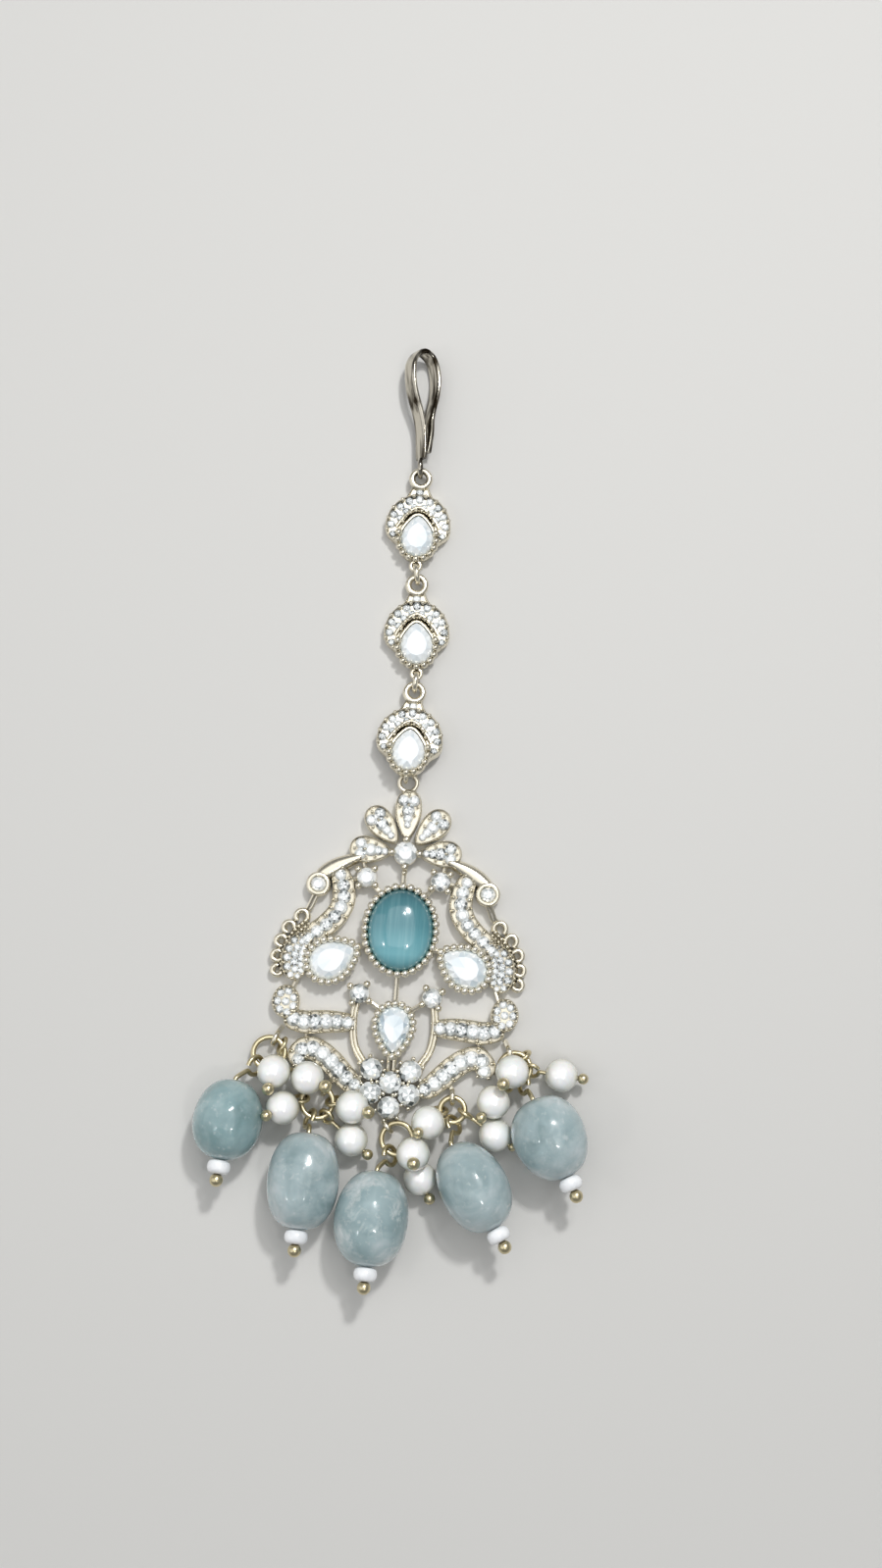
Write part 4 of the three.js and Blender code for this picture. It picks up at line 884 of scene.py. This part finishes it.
# drops: ring, grip angle on it, lean of the pin's eye and the bead's centre
beadRows = [  # ring, grip, lean, heading, x, y, z, length, width, tone, veins, egg, boxy
    (0, -22, 40, -99.3, -19.32, -36.7, 4.25, 9.5, 8.3, 0.6, 0.15, 0.03, 0.86),
    (1, 8, -10, -96.1, -10.33, -43.82, 4.32, 11.3, 8.4, 0.05, 0.3, 0.0, 0.74),
    (2, -60, 40, -96.1, -2.2, -48.12, 4.76, 11.1, 8.8, 0.2, 0.9, 0.03, 0.82),
    (3, 6, 40, -62, 9.74, -44.47, 4.77, 10.9, 8.2, 0.05, 0.2, 0.05, 0.86),
    (4, 13, -40, -66.2, 18.86, -38.87, 4.63, 9.9, 8.6, 0.1, 0.3, -0.06, 0.82),
]
pearlRows = [  # ring, grip, lean, x, y, z, ball
    (0, 146, 4, -13.98, -31.07, 3.81, 0.74),
    (0, 66, -40, -9.99, -31.84, 3.42, 0.78),
    (1, -69, -10, -12.9, -35.34, 3.66, 0.68),
    (1, 130, 30, -4.63, -35.29, 3.27, 0.74),
    (1, 67, -30, -4.77, -39.16, 2, 0.66),
    (2, -1, 30, 3.42, -43.71, 2, 0.68),
    (2, 36, 0, 2.65, -40.7, 4.61, 0.76),
    (3, -87, -20, 4.41, -37.1, 3.89, 0.66),
    (3, 76, 11, 12.42, -38.63, 2, 0.48),
    (4, -41, 40, 12.2, -34.72, 3.08, 0.66),
    (4, 128, -30, 14.43, -31.12, 3.9, 0.76),
    (4, 66, -40, 20.39, -31.59, 2.02, 0.66),
]
beadKind = {"eye": 1.14, "wire": 0.29, "inset": 0.4, "hole": 0.45, "ball": 0.8, "below": 1.65, "pitch": 7.0,
            "neck": 0.25, "waves": 0.018}
pearlKind = {"eye": 0.89, "wire": 0.26, "inset": 0.14, "hole": 0.3, "below": 0.05, "width": 4.0, "neck": 0.25}
seed = {"width": 2.8, "length": 1.68, "hole": 0.4, "full": 0.42, "below": 0.83}
ballSeat = 0.9  # share of a ball's radius from the bead to the ball's middle
eyeOpen = 330  # degrees of a pin's loop


# a drilled bead: an oval profile turned about its length and closed by the hole's wall, with slow sine waves
def drilledBead(length, width, hole, full, centre, lie, waves=0.0, phase=0.0, egg=0.0, rows=30, around=48):
    steep = acos((2 * hole / width) ** (1 / full))
    t = np.linspace(-steep, steep, rows)
    wall = sin(steep) * length * 0.45
    radius = np.concatenate([np.cos(t) ** full * width / 2 * (1 + egg * np.sin(t)), [hole, hole]])
    along = np.concatenate([np.sin(t) * length / 2, [wall, -wall]])
    a = roundTurn(around)
    lobes = np.sin(2 * a + phase)[None] + 0.7 * np.sin(3 * a + 2.1 * phase + along[:, None] * 0.4)
    wave = 1 + waves * lobes * (radius / radius.max())[:, None]
    across = unit(np.cross(lie, upward + 0.01))
    other = np.cross(lie, across)
    spread = (radius[:, None] * wave)[:, :, None]
    circle = np.cos(a)[None, :, None] * across + np.sin(a)[None, :, None] * other
    return ringSolid(centre + along[:, None, None] * lie + spread * circle)


# a place on a ring by its angle from the far end, and the way the wire runs there
def gripOn(ring, grip):
    g = radians(grip)
    point = ring["centre"] + ring["radius"] * (cos(g) * ring["far"] + sin(g) * ring["side"])
    return point, cos(g) * ring["side"] - sin(g) * ring["far"]


# an eye pin: an open loop round the ring, a bend at the neck, then straight through the bead to its ball
def eyePin(kind, ring, grip, lean, centre, lie, half, ballSize):
    point, tangent = gripOn(ring, grip)
    neck = centre - lie * (half + kind["neck"])
    end = centre + lie * (half + kind["below"] + ballSeat * ballSize)
    pull = unit(neck - point)
    flat = unit(np.cross(pull, np.cross(tangent, pull)))
    l = radians(lean)
    normal = flat * cos(l) + np.cross(pull, flat) * sin(l)
    across = np.cross(normal, pull)
    a = np.radians(np.linspace(eyeOpen, 0, 40))[:, None]
    loop = point + pull * kind["inset"] + kind["eye"] * (np.cos(a) * pull + np.sin(a) * across)
    stem = evenly(np.concatenate([loop, [neck, end]]), 120, flat=False)
    for _ in range(3):
        stem[1:-1] = (stem[:-2] + 2 * stem[1:-1] + stem[2:]) / 4
    return [wireSolid(stem, kind["wire"], normal), copies(roundBall, [end], ballSize)]


rings = [ringFrame(*row[:4]) for row in dropRings]
for number, ring in enumerate(rings, 1):
    wire = wireRing(ring["centre"], np.cross(ring["far"], ring["side"]), ring["radius"], hang["ringWire"])
    makePiece(f"drop_ring_{number}_wire", [wire], metalRing, [f"drop_ring_{number}"])
for number, row in enumerate(beadRows, 1):
    ringNumber, grip, lean, heading, x, y, z, length, width, tone, veins, egg, boxy = row
    centre, lie = np.array([x, y, z]), pitched(heading, beadKind["pitch"])
    waves, phase = beadKind["waves"], 1.7 * (number - 1)
    stone = drilledBead(length, width, beadKind["hole"], boxy, centre, lie, waves, phase, egg)
    makePiece(f"bead_{number}_stone", [stone], beadStone, [f"bead_{number}"], smooth=50,
              attributes={"tone": ("POINT", tone), "veined": ("POINT", veins)})
    pin = eyePin(beadKind, rings[ringNumber], grip, lean, centre, lie, length / 2, beadKind["ball"])
    makePiece(f"bead_pin_{number}_wire", pin, metalRing, [f"bead_pin_{number}"])
    below = centre + lie * (length / 2 + seed["below"])
    grain = drilledBead(seed["length"], seed["width"], seed["hole"], seed["full"], below, lie, rows=14, around=28)
    makePiece(f"seed_{number}", [grain], seedSkin)
for number, (ringNumber, grip, lean, x, y, z, ballSize) in enumerate(pearlRows, 1):
    ring, centre, width = rings[ringNumber], np.array([x, y, z]), pearlKind["width"]
    lie = unit(centre - gripOn(ring, grip)[0])
    pearl = drilledBead(width, width, pearlKind["hole"], 1.0, centre, lie, rows=24, around=40)
    makePiece(f"pearl_{number}_bead", [pearl], pearlSkin, [f"pearl_{number}"], smooth=50)
    pin = eyePin(pearlKind, ring, grip, lean, centre, lie, width / 2, ballSize)
    makePiece(f"pearl_pin_{number}_wire", pin, metalRing, [f"pearl_pin_{number}"])
print("drops made")

# plain pale floor and soft studio light
studio = {
    "floor": "#cfcecb", "floorHalf": 2, "world": "#f2f4f6", "worldStrength": 0.21, "exposure": 0.2,
    # name, power in watts, size and place in metres
    "lights": [("panel", 0.7, 0.5, (0.0, 0.06, 0.45)), ("key", 1.0, 0.045, (0.13, 0.23, 0.42)),
               ("fill", 0.5, 0.5, (-0.5, 0.02, 0.3)), ("spot_a", 0.07, 0.02, (0.05, 0.14, 0.34)),
               ("spot_b", 0.07, 0.02, (-0.28, -0.14, 0.34)), ("spot_c", 0.07, 0.02, (0.09, -0.14, 0.34))],
}
paint = {"Base Color": hexColor(studio["floor"]), "Roughness": 0.8}
far = studio["floorHalf"]
mesh = bpy.data.meshes.new("floor")
mesh.from_pydata([(-far, -far, 0), (far, -far, 0), (far, far, 0), (-far, far, 0)], [], [(0, 1, 2, 3)])
mesh.materials.append(finishMaterial(startMaterial("pale_floor")[0], paint))
floor = addObject("floor", mesh)
for name, energy, size, place in studio["lights"]:  # each panel faces the origin
    lamp = bpy.data.lights.new(name, "AREA")
    lamp.energy, lamp.size = energy, size
    lampObject = addObject(name, lamp)
    lampObject.location = place
    back = unit(np.array(place))
    lampObject.rotation_euler = (acos(back[2]), 0, atan2(back[1], back[0]) + pi / 2)
world = bpy.data.worlds.new("studio")
world.use_nodes = True
glow = world.node_tree.nodes["Background"].inputs
glow["Color"].default_value = hexColor(studio["world"])
glow["Strength"].default_value = studio["worldStrength"]
scene.world = world
scene.view_settings.view_transform = "Standard"
scene.view_settings.exposure = studio["exposure"]

print("stage lit")
